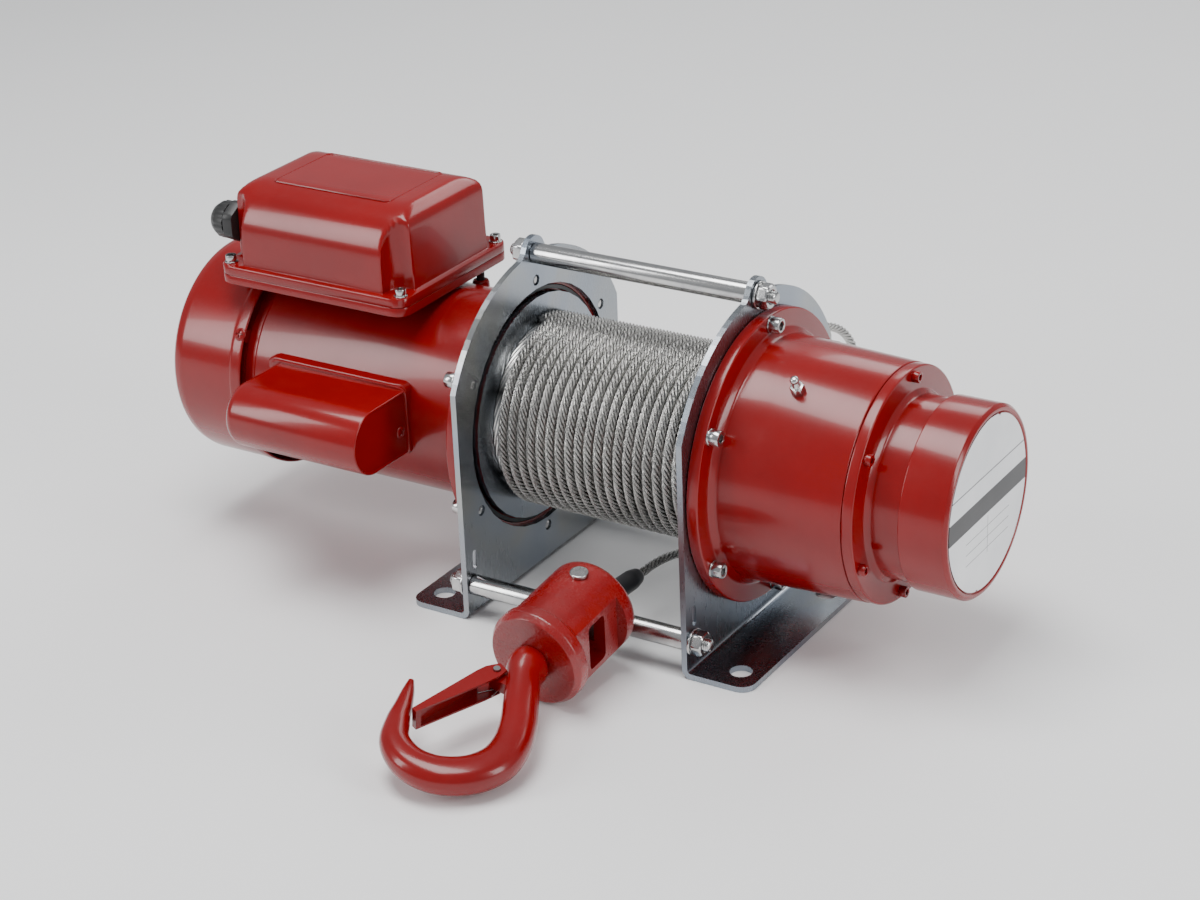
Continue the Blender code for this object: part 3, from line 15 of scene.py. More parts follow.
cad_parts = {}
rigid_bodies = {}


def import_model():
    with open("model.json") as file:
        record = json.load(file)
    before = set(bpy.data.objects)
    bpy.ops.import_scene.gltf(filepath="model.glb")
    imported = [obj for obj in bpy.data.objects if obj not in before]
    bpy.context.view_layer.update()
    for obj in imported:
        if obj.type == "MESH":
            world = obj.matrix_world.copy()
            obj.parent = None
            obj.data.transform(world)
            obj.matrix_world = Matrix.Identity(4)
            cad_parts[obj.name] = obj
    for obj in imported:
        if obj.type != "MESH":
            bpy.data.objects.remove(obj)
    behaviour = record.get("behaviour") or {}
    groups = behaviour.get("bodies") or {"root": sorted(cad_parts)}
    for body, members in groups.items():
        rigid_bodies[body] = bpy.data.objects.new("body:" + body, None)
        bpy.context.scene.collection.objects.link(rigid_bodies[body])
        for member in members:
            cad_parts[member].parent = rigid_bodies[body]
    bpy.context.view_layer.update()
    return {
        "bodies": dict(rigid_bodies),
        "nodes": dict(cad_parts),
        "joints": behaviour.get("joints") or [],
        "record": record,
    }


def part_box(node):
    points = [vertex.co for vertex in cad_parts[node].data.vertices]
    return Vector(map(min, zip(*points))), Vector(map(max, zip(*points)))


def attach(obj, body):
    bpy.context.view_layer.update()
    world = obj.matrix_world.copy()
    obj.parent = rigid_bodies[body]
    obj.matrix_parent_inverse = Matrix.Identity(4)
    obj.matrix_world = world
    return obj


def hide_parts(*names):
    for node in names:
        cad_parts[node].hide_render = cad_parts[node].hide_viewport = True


LOG = logging.getLogger("wire_rope_puller")
Array = np.ndarray
GAP = 0.0003
AXIS_HEIGHT = 0.133
ROPE_PIN = (0.0249, -0.1386, 0.0467)
ROPE_YAW = -3.9

# The free rope's route, from the floor point below the drum's middle
ROPE_ROUTE = (
    (0.0860, 0.0000, 0.2124),
    (0.0862, 0.0165, 0.2109),
    (0.0864, 0.0400, 0.2060),
    (0.0868, 0.0640, 0.2003),
    (0.0872, 0.0880, 0.1950),
    (0.0880, 0.1090, 0.1903),
    (0.0884, 0.1330, 0.1815),
    (0.0880, 0.1530, 0.1690),
    (0.0868, 0.1695, 0.1510),
    (0.0845, 0.1800, 0.1280),
    (0.0815, 0.1835, 0.1020),
    (0.0775, 0.1805, 0.0760),
    (0.0725, 0.1700, 0.0500),
    (0.0665, 0.1515, 0.0265),
    (0.0600, 0.1270, 0.0105),
    (0.0525, 0.0990, 0.0045),
    (0.0450, 0.0720, 0.0085),
    (0.0385, 0.0450, 0.0185),
    (0.0330, 0.0180, 0.0292),
    (0.0298, -0.0080, 0.0380),
    (0.0292, -0.0320, 0.0435),
    (0.0295, -0.0500, 0.0458),
)


# ---------------------------------------------------------------- surfaces worked out on grids


def ring_angles(steps: int) -> Array:
    """Even angles round a circle, in radians."""
    return np.linspace(0.0, 2 * np.pi, steps, endpoint=False)


def rounded(profile: Sequence[Sequence[float]], reach: float, closed: bool = True, steps: int = 4) -> Array:
    """Rounds the corners of a profile.

    Each corner P becomes the curve (1-t)^2 A + 2t(1-t) P + t^2 B, where A and B lie on its two
    edges at the reach from P, or at 0.45 of a shorter edge.

    Args:
        profile: corner points, any number of columns.
        reach: how far along each edge the rounding starts, in metres.
        closed: whether the last point joins the first.
        steps: intervals along each corner.

    Returns:
        The rounded points.
    """
    points = np.asarray(profile, float)
    before, after = np.roll(points, 1, 0) - points, np.roll(points, -1, 0) - points
    long_before = np.linalg.norm(before, axis=1, keepdims=True) + 1e-12
    long_after = np.linalg.norm(after, axis=1, keepdims=True) + 1e-12
    a = points + before / long_before * np.minimum(reach, 0.45 * long_before)
    b = points + after / long_after * np.minimum(reach, 0.45 * long_after)
    t = np.linspace(0, 1, steps + 1)[None, :, None]
    curve = (1 - t) ** 2 * a[:, None] + 2 * t * (1 - t) * points[:, None] + t**2 * b[:, None]
    if closed:
        return curve.reshape(-1, points.shape[1])
    return np.concatenate([points[:1], curve[1:-1].reshape(-1, points.shape[1]), points[-1:]])


def turned(profile: Array, steps: int = 96) -> Array:
    """Turns a profile of (x, radius) round X: each point is (x, r cos a, r sin a).

    Args:
        profile: points of (x, radius).
        steps: columns round the axis.

    Returns:
        The grid of points.
    """
    profile = np.asarray(profile, float)
    angle = ring_angles(steps)
    along = np.repeat(profile[:, :1], steps, axis=1)
    return np.stack([along, profile[:, 1:] * np.cos(angle), profile[:, 1:] * np.sin(angle)], axis=-1)


def rounded_box_reach(angle: Array, half_x: Array, half_y: Array, corner: Array) -> Array:
    """Distance from the middle of a rounded rectangle to its edge, along each angle.

    The ray meets the upright side at half_x/cos, the level side at half_y/sin, or the corner's
    circle of the given radius, whichever of the three lies there.

    Args:
        angle: ray angles in radians.
        half_x: half size along X.
        half_y: half size along Y.
        corner: corner radius.

    Returns:
        The distances, broadcast over all inputs.
    """
    c, s = np.abs(np.cos(angle)) + 1e-9, np.abs(np.sin(angle)) + 1e-9
    side, level = half_x / c, half_y / s
    centre_x, centre_y = half_x - corner, half_y - corner
    along = centre_x * c + centre_y * s
    root = np.maximum(corner**2 - (centre_x**2 + centre_y**2) + along**2, 0)
    bend = along + np.sqrt(root)
    on_side = side * s <= centre_y
    on_level = level * c <= centre_x
    return np.where(on_side, side, np.where(on_level, level, bend))


def corner_angles(half_x: float, half_y: float, per_side: int, per_corner: int) -> Array:
    """Ray angles round a rectangle, crowded near its four corners.

    Args:
        half_x: half size along X.
        half_y: half size along Y.
        per_side: angles on each half side.
        per_corner: angles round each corner.

    Returns:
        The angles in radians, in order.
    """
    diagonal = math.atan2(half_y, half_x)
    near = np.linspace(-0.16, 0.16, per_corner)
    quarter = np.concatenate([np.linspace(0, diagonal - 0.17, per_side), diagonal + near])
    quarter = np.concatenate([quarter, np.linspace(diagonal + 0.17, math.pi / 2, per_side)[:-1]])
    mirrored = np.pi - np.concatenate([quarter[1:], [math.pi / 2]])[::-1]
    half = np.concatenate([quarter, mirrored])
    return np.concatenate([half, half + np.pi])


def catmull_rom(points: Sequence[Sequence[float]], per_segment: int) -> Array:
    """Even steps along the Catmull-Rom curve through the points, first and last one repeated.

    Args:
        points: the knots, any number of columns.
        per_segment: steps between two knots.

    Returns:
        The points of the curve.
    """
    knots = np.asarray(points, float)
    padded = np.concatenate([knots[:1], knots, knots[-1:]])
    t = np.linspace(0, 1, per_segment, endpoint=False)[None, :, None]
    a, b, c, d = (padded[i : len(padded) - 3 + i, None] for i in range(4))
    cubic = 2 * b + (c - a) * t + (2 * a - 5 * b + 4 * c - d) * t**2 + (3 * b - a - 3 * c + d) * t**3
    return np.concatenate([(0.5 * cubic).reshape(-1, knots.shape[1]), knots[-1:]])


def evenly(points: Array, count: int) -> Array:
    """The same path as count points at even steps of its length.

    Args:
        points: points of the path.
        count: how many points come out.

    Returns:
        The evenly spaced points.
    """
    walked = np.concatenate([[0], np.cumsum(np.linalg.norm(np.diff(points, axis=0), axis=1))])
    wanted = np.linspace(0, walked[-1], count)
    return np.stack([np.interp(wanted, walked, column) for column in points.T], axis=1)


def path_length(points: Array) -> float:
    """Length of a path through points."""
    return float(np.linalg.norm(np.diff(points, axis=0), axis=1).sum())


def steady_frames(path: Array, up: Sequence[float]) -> tuple[Array, Array]:
    """Two directions across a path that keep as near as they can to the given up.

    Side = tangent x up, made unit length, and over = side x tangent.

    Args:
        path: points of the path.
        up: a direction that the path never follows.

    Returns:
        The side and over directions at each point.
    """
    tangent = np.gradient(path, axis=0)
    tangent /= np.linalg.norm(tangent, axis=1, keepdims=True)
    side = np.cross(tangent, np.asarray(up, float))
    side /= np.linalg.norm(side, axis=1, keepdims=True)
    return side, np.cross(side, tangent)


def stranded(path: Array, up: Sequence[float], radius: float, lay: float, per_strand: int = 4) -> Array:
    """A rope of six strands carried along a path.

    In each cross-section the outline is that of six touching circles: the radius at an angle b
    from the nearest strand's middle is R (2/3 cos b + sqrt(1/9 - 4/9 sin^2 b)). The whole section
    turns once in each lay length, and the grid's lines follow the strands.

    Args:
        path: points of the rope's middle, evenly spaced.
        up: a direction that the path never follows.
        radius: the rope's radius.
        lay: length in which a strand goes once round.
        per_strand: grid columns on each strand.

    Returns:
        The grid of points: along the rope, then round it.
    """
    side, over = steady_frames(path, up)
    columns = ring_angles(6 * per_strand)
    nearest = (columns * 6 / (2 * np.pi) + 0.5) % 1.0 - 0.5
    b = nearest * 2 * np.pi / 6
    reach = radius * (2 / 3 * np.cos(b) + np.sqrt(np.maximum(1 / 9 - 4 / 9 * np.sin(b) ** 2, 0)))
    walked = np.concatenate([[0], np.cumsum(np.linalg.norm(np.diff(path, axis=0), axis=1))])
    angle = columns[None, :] + 2 * np.pi * walked[:, None] / lay
    offset = np.cos(angle)[..., None] * side[:, None] + np.sin(angle)[..., None] * over[:, None]
    return path[:, None] + offset * reach[None, :, None]


def tube(path: Array, up: Sequence[float], radius: Any, steps: int = 16) -> Array:
    """A round tube along a path: each ring is the path's point plus r (side cos a + over sin a).

    Args:
        path: points of the middle line.
        up: a direction that the path never follows.
        radius: one radius, or one for each point.
        steps: columns round the tube.

    Returns:
        The grid of points.
    """
    side, over = steady_frames(path, up)
    angle = ring_angles(steps)[None, :, None]
    reach = np.broadcast_to(np.asarray(radius, float), (len(path),))[:, None, None]
    return path[:, None] + reach * (np.cos(angle) * side[:, None] + np.sin(angle) * over[:, None])


def hexagon_reach(angle: Array, flats: float) -> Array:
    """Distance from a hexagon's middle to its side: half its width over cos of the angle from the flat."""
    return flats / 2 / np.cos((angle + np.pi / 6) % (np.pi / 3) - np.pi / 6)


def standing(rows: Sequence[tuple[float, Array]], steps: int) -> Array:
    """Rings of given reach at given heights along Z: each point is (r cos a, r sin a, height).

    Args:
        rows: pairs of height and reach.
        steps: columns round Z.

    Returns:
        The grid of points.
    """
    angle = ring_angles(steps)
    reach = np.stack([np.broadcast_to(r, (steps,)) for _, r in rows])
    height = np.array([h for h, _ in rows])[:, None] + 0 * reach
    return np.stack([reach * np.cos(angle), reach * np.sin(angle), height], axis=-1)


def moved(points: Array, matrix: Matrix) -> Array:
    """The points under a 4x4 matrix."""
    m = np.array(matrix)
    return points @ m[:3, :3].T + m[:3, 3]


def aimed(place: Sequence[float], direction: Sequence[float], turn: float = 0.0) -> Matrix:
    """A matrix that stands a piece drawn along +Z at a place, along a direction, turned about itself."""
    facing = Vector(direction).to_track_quat("Z", "Y").to_matrix().to_4x4()
    return Matrix.Translation(Vector(place)) @ facing @ Matrix.Rotation(turn, 4, "Z")


class Skin:
    """Gathers grids of points into one mesh, with a UV map of (round, along) on each grid."""

    def __init__(self) -> None:
        """Starts with nothing in it."""
        self.points: list[Array] = []
        self.faces: list[Any] = []
        self.uvs: list[Array] = []
        self.count = 0

    def grid(self, points: Array, wrap_rows: bool = False, wrap_columns: bool = True,
             caps: bool = False) -> "Skin":
        """Adds a grid of quads.

        Args:
            points: rows by columns by three.
            wrap_rows: whether the last row joins the first.
            wrap_columns: whether the last column joins the first.
            caps: whether the first and last rows are closed with a flat face.

        Returns:
            The skin itself.
        """
        rows, columns = points.shape[:2]
        index = np.arange(rows * columns).reshape(rows, columns) + self.count
        row_ends = np.arange(rows if wrap_rows else rows - 1)
        column_ends = np.arange(columns if wrap_columns else columns - 1)
        i, j = np.meshgrid(row_ends, column_ends, indexing="ij")
        i, j = i.ravel(), j.ravel()
        i2, j2 = (i + 1) % rows, (j + 1) % columns
        quads = np.stack([index[i, j], index[i, j2], index[i2, j2], index[i2, j]], axis=1)
        steps = np.linalg.norm(np.diff(points.mean(axis=1), axis=0), axis=1)
        walked = np.concatenate([[0], np.cumsum(steps)])
        last = np.append(walked, walked[-1])
        u = np.stack([j, j + 1, j + 1, j], axis=1) / columns
        v = np.stack([last[i], last[i], last[i + 1], last[i + 1]], axis=1)
        self.faces.extend(quads.tolist())
        self.uvs.append(np.stack([u, v], axis=-1).reshape(-1, 2))
        if caps:
            for ring in (index[0], index[-1][::-1]):
                self.faces.append(ring.tolist())
                self.uvs.append(np.zeros((columns, 2)))
        self.points.append(points.reshape(-1, 3))
        self.count += rows * columns
        return self

    def piece(self, name: str, material: Any, sharp: float = 40.0) -> Any:
        """Makes the object, with faces outwards and creases above an angle.

        Args:
            name: the piece's name.
            material: its material.
            sharp: crease angle in degrees.

        Returns:
            The new object, at the origin.
        """
        mesh = bpy.data.meshes.new(name)
        mesh.from_pydata(np.concatenate(self.points).tolist(), [], self.faces)
        layer = mesh.uv_layers.new(name="round_and_along")
        layer.data.foreach_set("uv", np.concatenate(self.uvs).ravel())
        bm = bmesh.new()
        bm.from_mesh(mesh)
        bmesh.ops.recalc_face_normals(bm, faces=bm.faces)
        bm.to_mesh(mesh)
        bm.free()
        mesh.materials.append(material)
        mesh.shade_smooth()
        mesh.set_sharp_from_angle(angle=math.radians(sharp))
        found = bpy.data.objects.new(name, mesh)
        bpy.context.scene.collection.objects.link(found)
        return found


def cut_away(piece: Any, cutters: Sequence[Any], sharp: float = 35.0) -> None:
    """Cuts closed pieces out of another and throws the cutters away.

    Args:
        piece: the object that is cut.
        cutters: the objects that cut it.
        sharp: crease angle in degrees afterwards.
    """
    for index, cutter in enumerate(cutters):
        cut = piece.modifiers.new(f"cut_{index}", "BOOLEAN")
        cut.operation, cut.solver, cut.object = "DIFFERENCE", "EXACT", cutter
    graph = bpy.context.evaluated_depsgraph_get()
    done = bpy.data.meshes.new_from_object(piece.evaluated_get(graph))
    piece.modifiers.clear()
    piece.data = done
    done.shade_smooth()
    done.set_sharp_from_angle(angle=math.radians(sharp))
    for cutter in cutters:
        bpy.data.objects.remove(cutter)


# ---------------------------------------------------------------- finishes


class Slot(Enum):
    """The record's material slots."""

    RED = "red_paint"
    ZINC = "zinc_plate"
    BRIGHT = "bright_steel"
    STEEL = "machined_steel"
    ROPE = "rope_wire"
    PLASTIC = "black_plastic"
    RUBBER = "black_rubber"
    BLACKENED = "blackened_steel"
    WINDINGS = "stator_windings"


@dataclass(frozen=True)
class Finish:
    """One surface finish: colours, how far they vary, and the scale and depth of its texture.

    Scales are in features per metre and depths in metres.
    """

    name: str
    colour: tuple[float, float, float]
    other: tuple[float, float, float]
    metallic: float = 0.0
    roughness: tuple[float, float] = (0.3, 0.4)
    patch_scale: float = 14.0
    grain_scale: float = 260.0
    grain_stretch: tuple[float, float, float] = (1.0, 1.0, 1.0)
    depth: float = 0.00002
    coat: float = 0.0
    coat_roughness: float = 0.06
    dust: float = 0.0
    specular: float = 0.5


DUST = (0.42, 0.40, 0.37)
FINISHES = {
    "enamel": Finish("glossy_red_enamel", (0.25, 0.0006, 0.0012), (0.19, 0.0004, 0.0008), 0.0, (0.18, 0.26),
                     9.0, 330.0, (1, 1, 1), 0.000012, 0.22, 0.05, 0.012, 0.4),
    "casting": Finish("red_enamel_on_casting", (0.27, 0.0012, 0.0018), (0.18, 0.0008, 0.0012), 0.0,
                      (0.22, 0.34), 22.0, 520.0, (1, 1, 1), 0.00030, 0.45, 0.08, 0.02),
    "bright": Finish("bright_plated_steel", (0.60, 0.60, 0.59), (0.44, 0.44, 0.45), 1.0, (0.14, 0.26), 60.0,
                     900.0, (1, 1, 1), 0.000004, dust=0.01),
    "steel": Finish("machined_steel", (0.50, 0.50, 0.50), (0.40, 0.40, 0.41), 1.0, (0.26, 0.40), 50.0,
                    1500.0, (0.05, 1, 1), 0.000006),
    "plastic": Finish("black_moulded_plastic", (0.012, 0.012, 0.013), (0.022, 0.022, 0.022), 0.0,
                      (0.34, 0.48), 30.0, 1300.0, (1, 1, 1), 0.000012, dust=0.02),
    "rubber": Finish("black_rubber_sheath", (0.010, 0.010, 0.010), (0.020, 0.020, 0.020), 0.0, (0.50, 0.66),
                     30.0, 900.0, (1, 1, 1), 0.00001, dust=0.03),
    "blackened": Finish("blackened_steel", (0.014, 0.014, 0.016), (0.030, 0.030, 0.033), 0.2, (0.30, 0.46),
                        40.0, 700.0, (1, 1, 1), 0.00002, dust=0.02),
    "floor": Finish("pale_floor", (0.94, 0.94, 0.94), (0.92, 0.92, 0.92), 0.0, (0.55, 0.62), 3.0,
                    60.0, (1, 1, 1), 0.00001),
}


class Workshop:
    """Builds the node groups that materials share, and the materials themselves."""

    def __init__(self) -> None:
        """Builds the shared groups and every finish once."""
        self.patches = self.patch_group()
        self.dusting = self.dust_group()
        self.made = {key: self.plain(finish) for key, finish in FINISHES.items()}
        self.made["zinc"] = self.zinc()
        self.made["rope"] = self.rope()
        self.made["disc"] = self.rating_disc()
        self.made["windings"] = self.windings()
        self.by_slot = {
            Slot.RED: "enamel",
            Slot.ZINC: "zinc",
            Slot.BRIGHT: "bright",
            Slot.STEEL: "steel",
            Slot.ROPE: "rope",
            Slot.PLASTIC: "plastic",
            Slot.RUBBER: "rubber",
            Slot.BLACKENED: "blackened",
            Slot.WINDINGS: "windings",
        }

    def __getitem__(self, key: str) -> Any:
        """The material of that name."""
        return self.made[key]

    @staticmethod
    def node(tree: Any, kind: str, inputs: Optional[dict[Any, Any]] = None, **settings: Any) -> Any:
        """Adds a node, sets its properties, and joins or sets its inputs.

        Args:
            tree: the node tree.
            kind: Blender's name for the node.
            inputs: socket name or number to a value or to another node's output.
            settings: the node's own properties.

        Returns:
            The node.
        """
        made = tree.nodes.new(kind)
        for key, value in settings.items():
            setattr(made, key, value)
        for key, value in (inputs or {}).items():
            if isinstance(value, bpy.types.NodeSocket):
                tree.links.new(value, made.inputs[key])
            else:
                made.inputs[key].default_value = value
        return made

    @staticmethod
    def group(name: str, takes: dict[str, str], gives: dict[str, str]) -> tuple[Any, Any, Any]:
        """An empty node group with named sockets, and its input and output nodes.

        Args:
            name: the group's name.
            takes: input names to socket kinds.
            gives: output names to socket kinds.

        Returns:
            The group's tree, its input node and its output node.
        """
        tree = bpy.data.node_groups.new(name, "ShaderNodeTree")
        for label, kind in takes.items():
            tree.interface.new_socket(name=label, in_out="INPUT", socket_type=f"NodeSocket{kind}")
        for label, kind in gives.items():
            tree.interface.new_socket(name=label, in_out="OUTPUT", socket_type=f"NodeSocket{kind}")
        return tree, tree.nodes.new("NodeGroupInput"), tree.nodes.new("NodeGroupOutput")

    def patch_group(self) -> Any:
        """Broad patches and fine grain: two noises of the place, as a mask, a grain value and a roughness.

        Returns:
            The node group.
        """
        takes = {"Place": "Vector", "Patch Scale": "Float", "Grain Scale": "Float"}
        takes |= {"Smoothest": "Float", "Roughest": "Float", "Stretch": "Vector"}
        tree, given, result = self.group("patches_and_grain", takes,
                                         {"Patch": "Float", "Grain": "Float", "Rough": "Float"})
        broad = self.node(tree, "ShaderNodeTexNoise", {"Vector": given.outputs["Place"], "Detail": 4.0,
                                                       "Scale": given.outputs["Patch Scale"],
                                                       "Roughness": 0.6})
        spread = self.node(tree, "ShaderNodeMapRange",
                           {"Value": broad.outputs["Factor" if "Factor" in broad.outputs else "Fac"],
                                                        "From Min": 0.32, "From Max": 0.68})
        pulled = self.node(tree, "ShaderNodeVectorMath",
                           {0: given.outputs["Place"], 1: given.outputs["Stretch"]}, operation="MULTIPLY")
        fine = self.node(tree, "ShaderNodeTexNoise", {"Vector": pulled.outputs[0], "Detail": 2.0,
                                                      "Scale": given.outputs["Grain Scale"],
                                                      "Roughness": 0.5})
        mixed = self.node(tree, "ShaderNodeMath", {0: spread.outputs[0], 1: fine.outputs[0]}, operation="ADD")
        rough = self.node(tree, "ShaderNodeMapRange",
                          {"Value": mixed.outputs[0], "From Min": 0.2, "From Max": 1.8,
                                                       "To Min": given.outputs["Smoothest"],
                                                       "To Max": given.outputs["Roughest"]})
        tree.links.new(spread.outputs[0], result.inputs["Patch"])
        tree.links.new(fine.outputs[0], result.inputs["Grain"])
        tree.links.new(rough.outputs[0], result.inputs["Rough"])
        return tree

    def dust_group(self) -> Any:
        """A thin film of dust: a mask that is strong where broken noise peaks and the surface faces up.

        Returns:
            The node group.
        """
        tree, given, result = self.group("dust_film",
                                         {"Place": "Vector", "Normal": "Vector", "Amount": "Float"},
                                         {"Mask": "Float"})
        noise = self.node(tree, "ShaderNodeTexNoise",
                          {"Vector": given.outputs["Place"], "Scale": 38.0, "Detail": 6.0,
                                                       "Roughness": 0.7})
        peaks = self.node(tree, "ShaderNodeMapRange",
                          {"Value": noise.outputs[0], "From Min": 0.45, "From Max": 0.75})
        split = self.node(tree, "ShaderNodeSeparateXYZ", {0: given.outputs["Normal"]})
        upwards = self.node(tree, "ShaderNodeMapRange",
                            {"Value": split.outputs["Z"], "From Min": -0.2, "From Max": 1.0,
                                                         "To Min": 0.25, "To Max": 1.0})
        both = self.node(tree, "ShaderNodeMath", {0: peaks.outputs[0], 1: upwards.outputs[0]},
                         operation="MULTIPLY")
        mask = self.node(tree, "ShaderNodeMath", {0: both.outputs[0], 1: given.outputs["Amount"]},
                         operation="MULTIPLY")
        tree.links.new(mask.outputs[0], result.inputs["Mask"])
        return tree

    def start(self, name: str) -> tuple[Any, Any, Any, Any]:
        """A new material with its tree, its Principled shader and its object coordinates.

        Args:
            name: the material's name.

        Returns:
            The material, its tree, its shader and its object coordinates.
        """
        material = bpy.data.materials.new(name)
        material.use_nodes = True
        tree = material.node_tree
        shader = tree.nodes["Principled BSDF"]
        place = self.node(tree, "ShaderNodeTexCoord").outputs["Object"]
        return material, tree, shader, place

    def textured(self, tree: Any, place: Any, finish: Finish) -> Any:
        """Places the shared patch group with one finish's values.

        Args:
            tree: the material's tree.
            place: object coordinates.
            finish: the finish.

        Returns:
            The group's node.
        """
        made = self.node(tree, "ShaderNodeGroup", node_tree=self.patches)
        values = {"Patch Scale": finish.patch_scale, "Grain Scale": finish.grain_scale,
                  "Smoothest": finish.roughness[0], "Roughest": finish.roughness[1],
                  "Stretch": finish.grain_stretch}
        for label, value in values.items():
            made.inputs[label].default_value = value
        tree.links.new(place, made.inputs["Place"])
        return made

    def dusted(self, tree: Any, place: Any, colour: Any, amount: float) -> Any:
        """Lays the dust film over a colour.

        Args:
            tree: the material's tree.
            place: object coordinates.
            colour: the colour's output.
            amount: how strong the film is.

        Returns:
            The output of the dusted colour.
        """
        film = self.node(tree, "ShaderNodeGroup", node_tree=self.dusting)
        tree.links.new(place, film.inputs["Place"])
        tree.links.new(self.node(tree, "ShaderNodeNewGeometry").outputs["Normal"], film.inputs["Normal"])
        film.inputs["Amount"].default_value = amount
        return self.mix(tree, film.outputs["Mask"], colour, (*DUST, 1.0))

    def mix(self, tree: Any, factor: Any, first: Any, second: Any) -> Any:
        """Mixes two colours by a factor and gives the output.

        Args:
            tree: the material's tree.
            factor: how much of the second shows.
            first: the first colour.
            second: the second colour.

        Returns:
            The output of the mixed colour.
        """
        made = self.node(tree, "ShaderNodeMix", data_type="RGBA")
        for index, value in ((0, factor), (6, first), (7, second)):
            if isinstance(value, bpy.types.NodeSocket):
                tree.links.new(value, made.inputs[index])
            else:
                made.inputs[index].default_value = value
        return made.outputs[2]

    def bumped(self, tree: Any, shader: Any, height: Any, depth: float) -> None:
        """Feeds a height into the shader's normal through a Bump node."""
        bump = self.node(tree, "ShaderNodeBump", {"Height": height, "Strength": 1.0, "Distance": depth})
        tree.links.new(bump.outputs[0], shader.inputs["Normal"])

    def plain(self, finish: Finish) -> Any:
        """A material of one finish: patchy colour, grainy roughness and bump, and a little dust.

        Args:
            finish: the finish.

        Returns:
            The material.
        """
        material, tree, shader, place = self.start(finish.name)
        texture = self.textured(tree, place, finish)
        colour = self.mix(tree, texture.outputs["Patch"], (*finish.colour, 1.0), (*finish.other, 1.0))
        if finish.dust:
            colour = self.dusted(tree, place, colour, finish.dust)
        tree.links.new(colour, shader.inputs["Base Color"])
        tree.links.new(texture.outputs["Rough"], shader.inputs["Roughness"])
        self.bumped(tree, shader, texture.outputs["Grain"], finish.depth)
        shader.inputs["Metallic"].default_value = finish.metallic
        shader.inputs["Coat Weight"].default_value = finish.coat
        shader.inputs["Coat Roughness"].default_value = finish.coat_roughness
        shader.inputs["Specular IOR Level"].default_value = finish.specular
        return material

    def zinc(self) -> Any:
        """Blue-white zinc plating: slow drifts of blue, straw and violet over a rolled sheet's fine grain.

        Returns:
            The material.
        """
        finish = Finish("zinc_plating", (0.5, 0.5, 0.5), (0.5, 0.5, 0.5), 1.0, (0.22, 0.31), 5.0, 700.0,
                        (1, 1, 0.12), 0.000008)
        material, tree, shader, place = self.start(finish.name)
        texture = self.textured(tree, place, finish)
        drift = self.node(tree, "ShaderNodeTexNoise",
                          {"Vector": place, "Scale": 7.0, "Detail": 3.0, "Distortion": 1.4})
        ramp = self.node(tree, "ShaderNodeValToRGB", {0: drift.outputs[0]})
        stops = ((0.30, (0.27, 0.31, 0.37)), (0.44, (0.34, 0.37, 0.41)), (0.54, (0.38, 0.38, 0.36)),
                 (0.68, (0.32, 0.31, 0.37)))
        ramp.color_ramp.elements[0].position, ramp.color_ramp.elements[1].position = stops[0][0], stops[-1][0]
        ramp.color_ramp.elements[0].color, ramp.color_ramp.elements[1].color = (*stops[0][1],
                                                                                1), (*stops[-1][1], 1)
        for position, colour in stops[1:-1]:
            ramp.color_ramp.elements.new(position).color = (*colour, 1)
        darker = self.mix(tree, texture.outputs["Patch"], ramp.outputs[0], (0.27, 0.30, 0.34, 1))
        tree.links.new(self.dusted(tree, place, darker, 0.01), shader.inputs["Base Color"])
        tree.links.new(texture.outputs["Rough"], shader.inputs["Roughness"])
        self.bumped(tree, shader, texture.outputs["Grain"], finish.depth)
        shader.inputs["Metallic"].default_value = 1.0
        return material

    def rope(self) -> Any:
        """Galvanised wire with fine slanting wires; painted shade darkens the grooves between the strands, so
        the crowns stand out bright.

        Returns:
            The material.
        """
        finish = Finish("galvanised_wire", (0.78, 0.77, 0.74), (0.58, 0.57, 0.55), 1.0, (0.18, 0.32), 40.0,
                        900.0)
        material, tree, shader, place = self.start(finish.name)
        texture = self.textured(tree, place, finish)
        uv = self.node(tree, "ShaderNodeSeparateXYZ",
                       {0: self.node(tree, "ShaderNodeUVMap", uv_map="round_and_along").outputs[0]})
        strand = self.node(tree, "ShaderNodeMath", {0: uv.outputs["X"], 1: 6.0}, operation="MULTIPLY")
        shifted = self.node(tree, "ShaderNodeMath", {0: strand.outputs[0], 1: 0.5}, operation="ADD")
        share = self.node(tree, "ShaderNodeMath", {0: shifted.outputs[0]}, operation="FRACT")
        from_middle = self.node(tree, "ShaderNodeMath", {0: share.outputs[0], 1: 0.5}, operation="SUBTRACT")
        distance = self.node(tree, "ShaderNodeMath", {0: from_middle.outputs[0]}, operation="ABSOLUTE")
        # Mask of the grooves between the strands, where painted shade is laid.
        groove_shade_mask = self.node(tree, "ShaderNodeMapRange",
                           {"Value": distance.outputs[0], "From Min": 0.30, "From Max": 0.50})
        across = self.node(tree, "ShaderNodeMath", {0: uv.outputs["X"], 1: 2 * math.pi * 36},
                           operation="MULTIPLY")
        along = self.node(tree, "ShaderNodeMath", {0: uv.outputs["Y"], 1: 2 * math.pi * 420},
                          operation="MULTIPLY")
        phase = self.node(tree, "ShaderNodeMath", {0: across.outputs[0], 1: along.outputs[0]},
                          operation="ADD")
        wires = self.node(tree, "ShaderNodeMath", {0: phase.outputs[0]}, operation="SINE")
        between = self.node(tree, "ShaderNodeMapRange",
                            {"Value": wires.outputs[0], "From Min": -0.2, "From Max": -1.0,
                                                         "To Min": 0.0, "To Max": 0.3})
        base = self.mix(tree, texture.outputs["Patch"], (*finish.colour, 1), (*finish.other, 1))
        lined = self.mix(tree, between.outputs[0], base, (0.09, 0.085, 0.08, 1))
        # Painted shade: the grooves between the strands are darkened to near black.
        shaded_grooves = self.mix(tree, groove_shade_mask.outputs[0], lined, (0.035, 0.033, 0.03, 1))
        tree.links.new(self.dusted(tree, place, shaded_grooves, 0.02), shader.inputs["Base Color"])
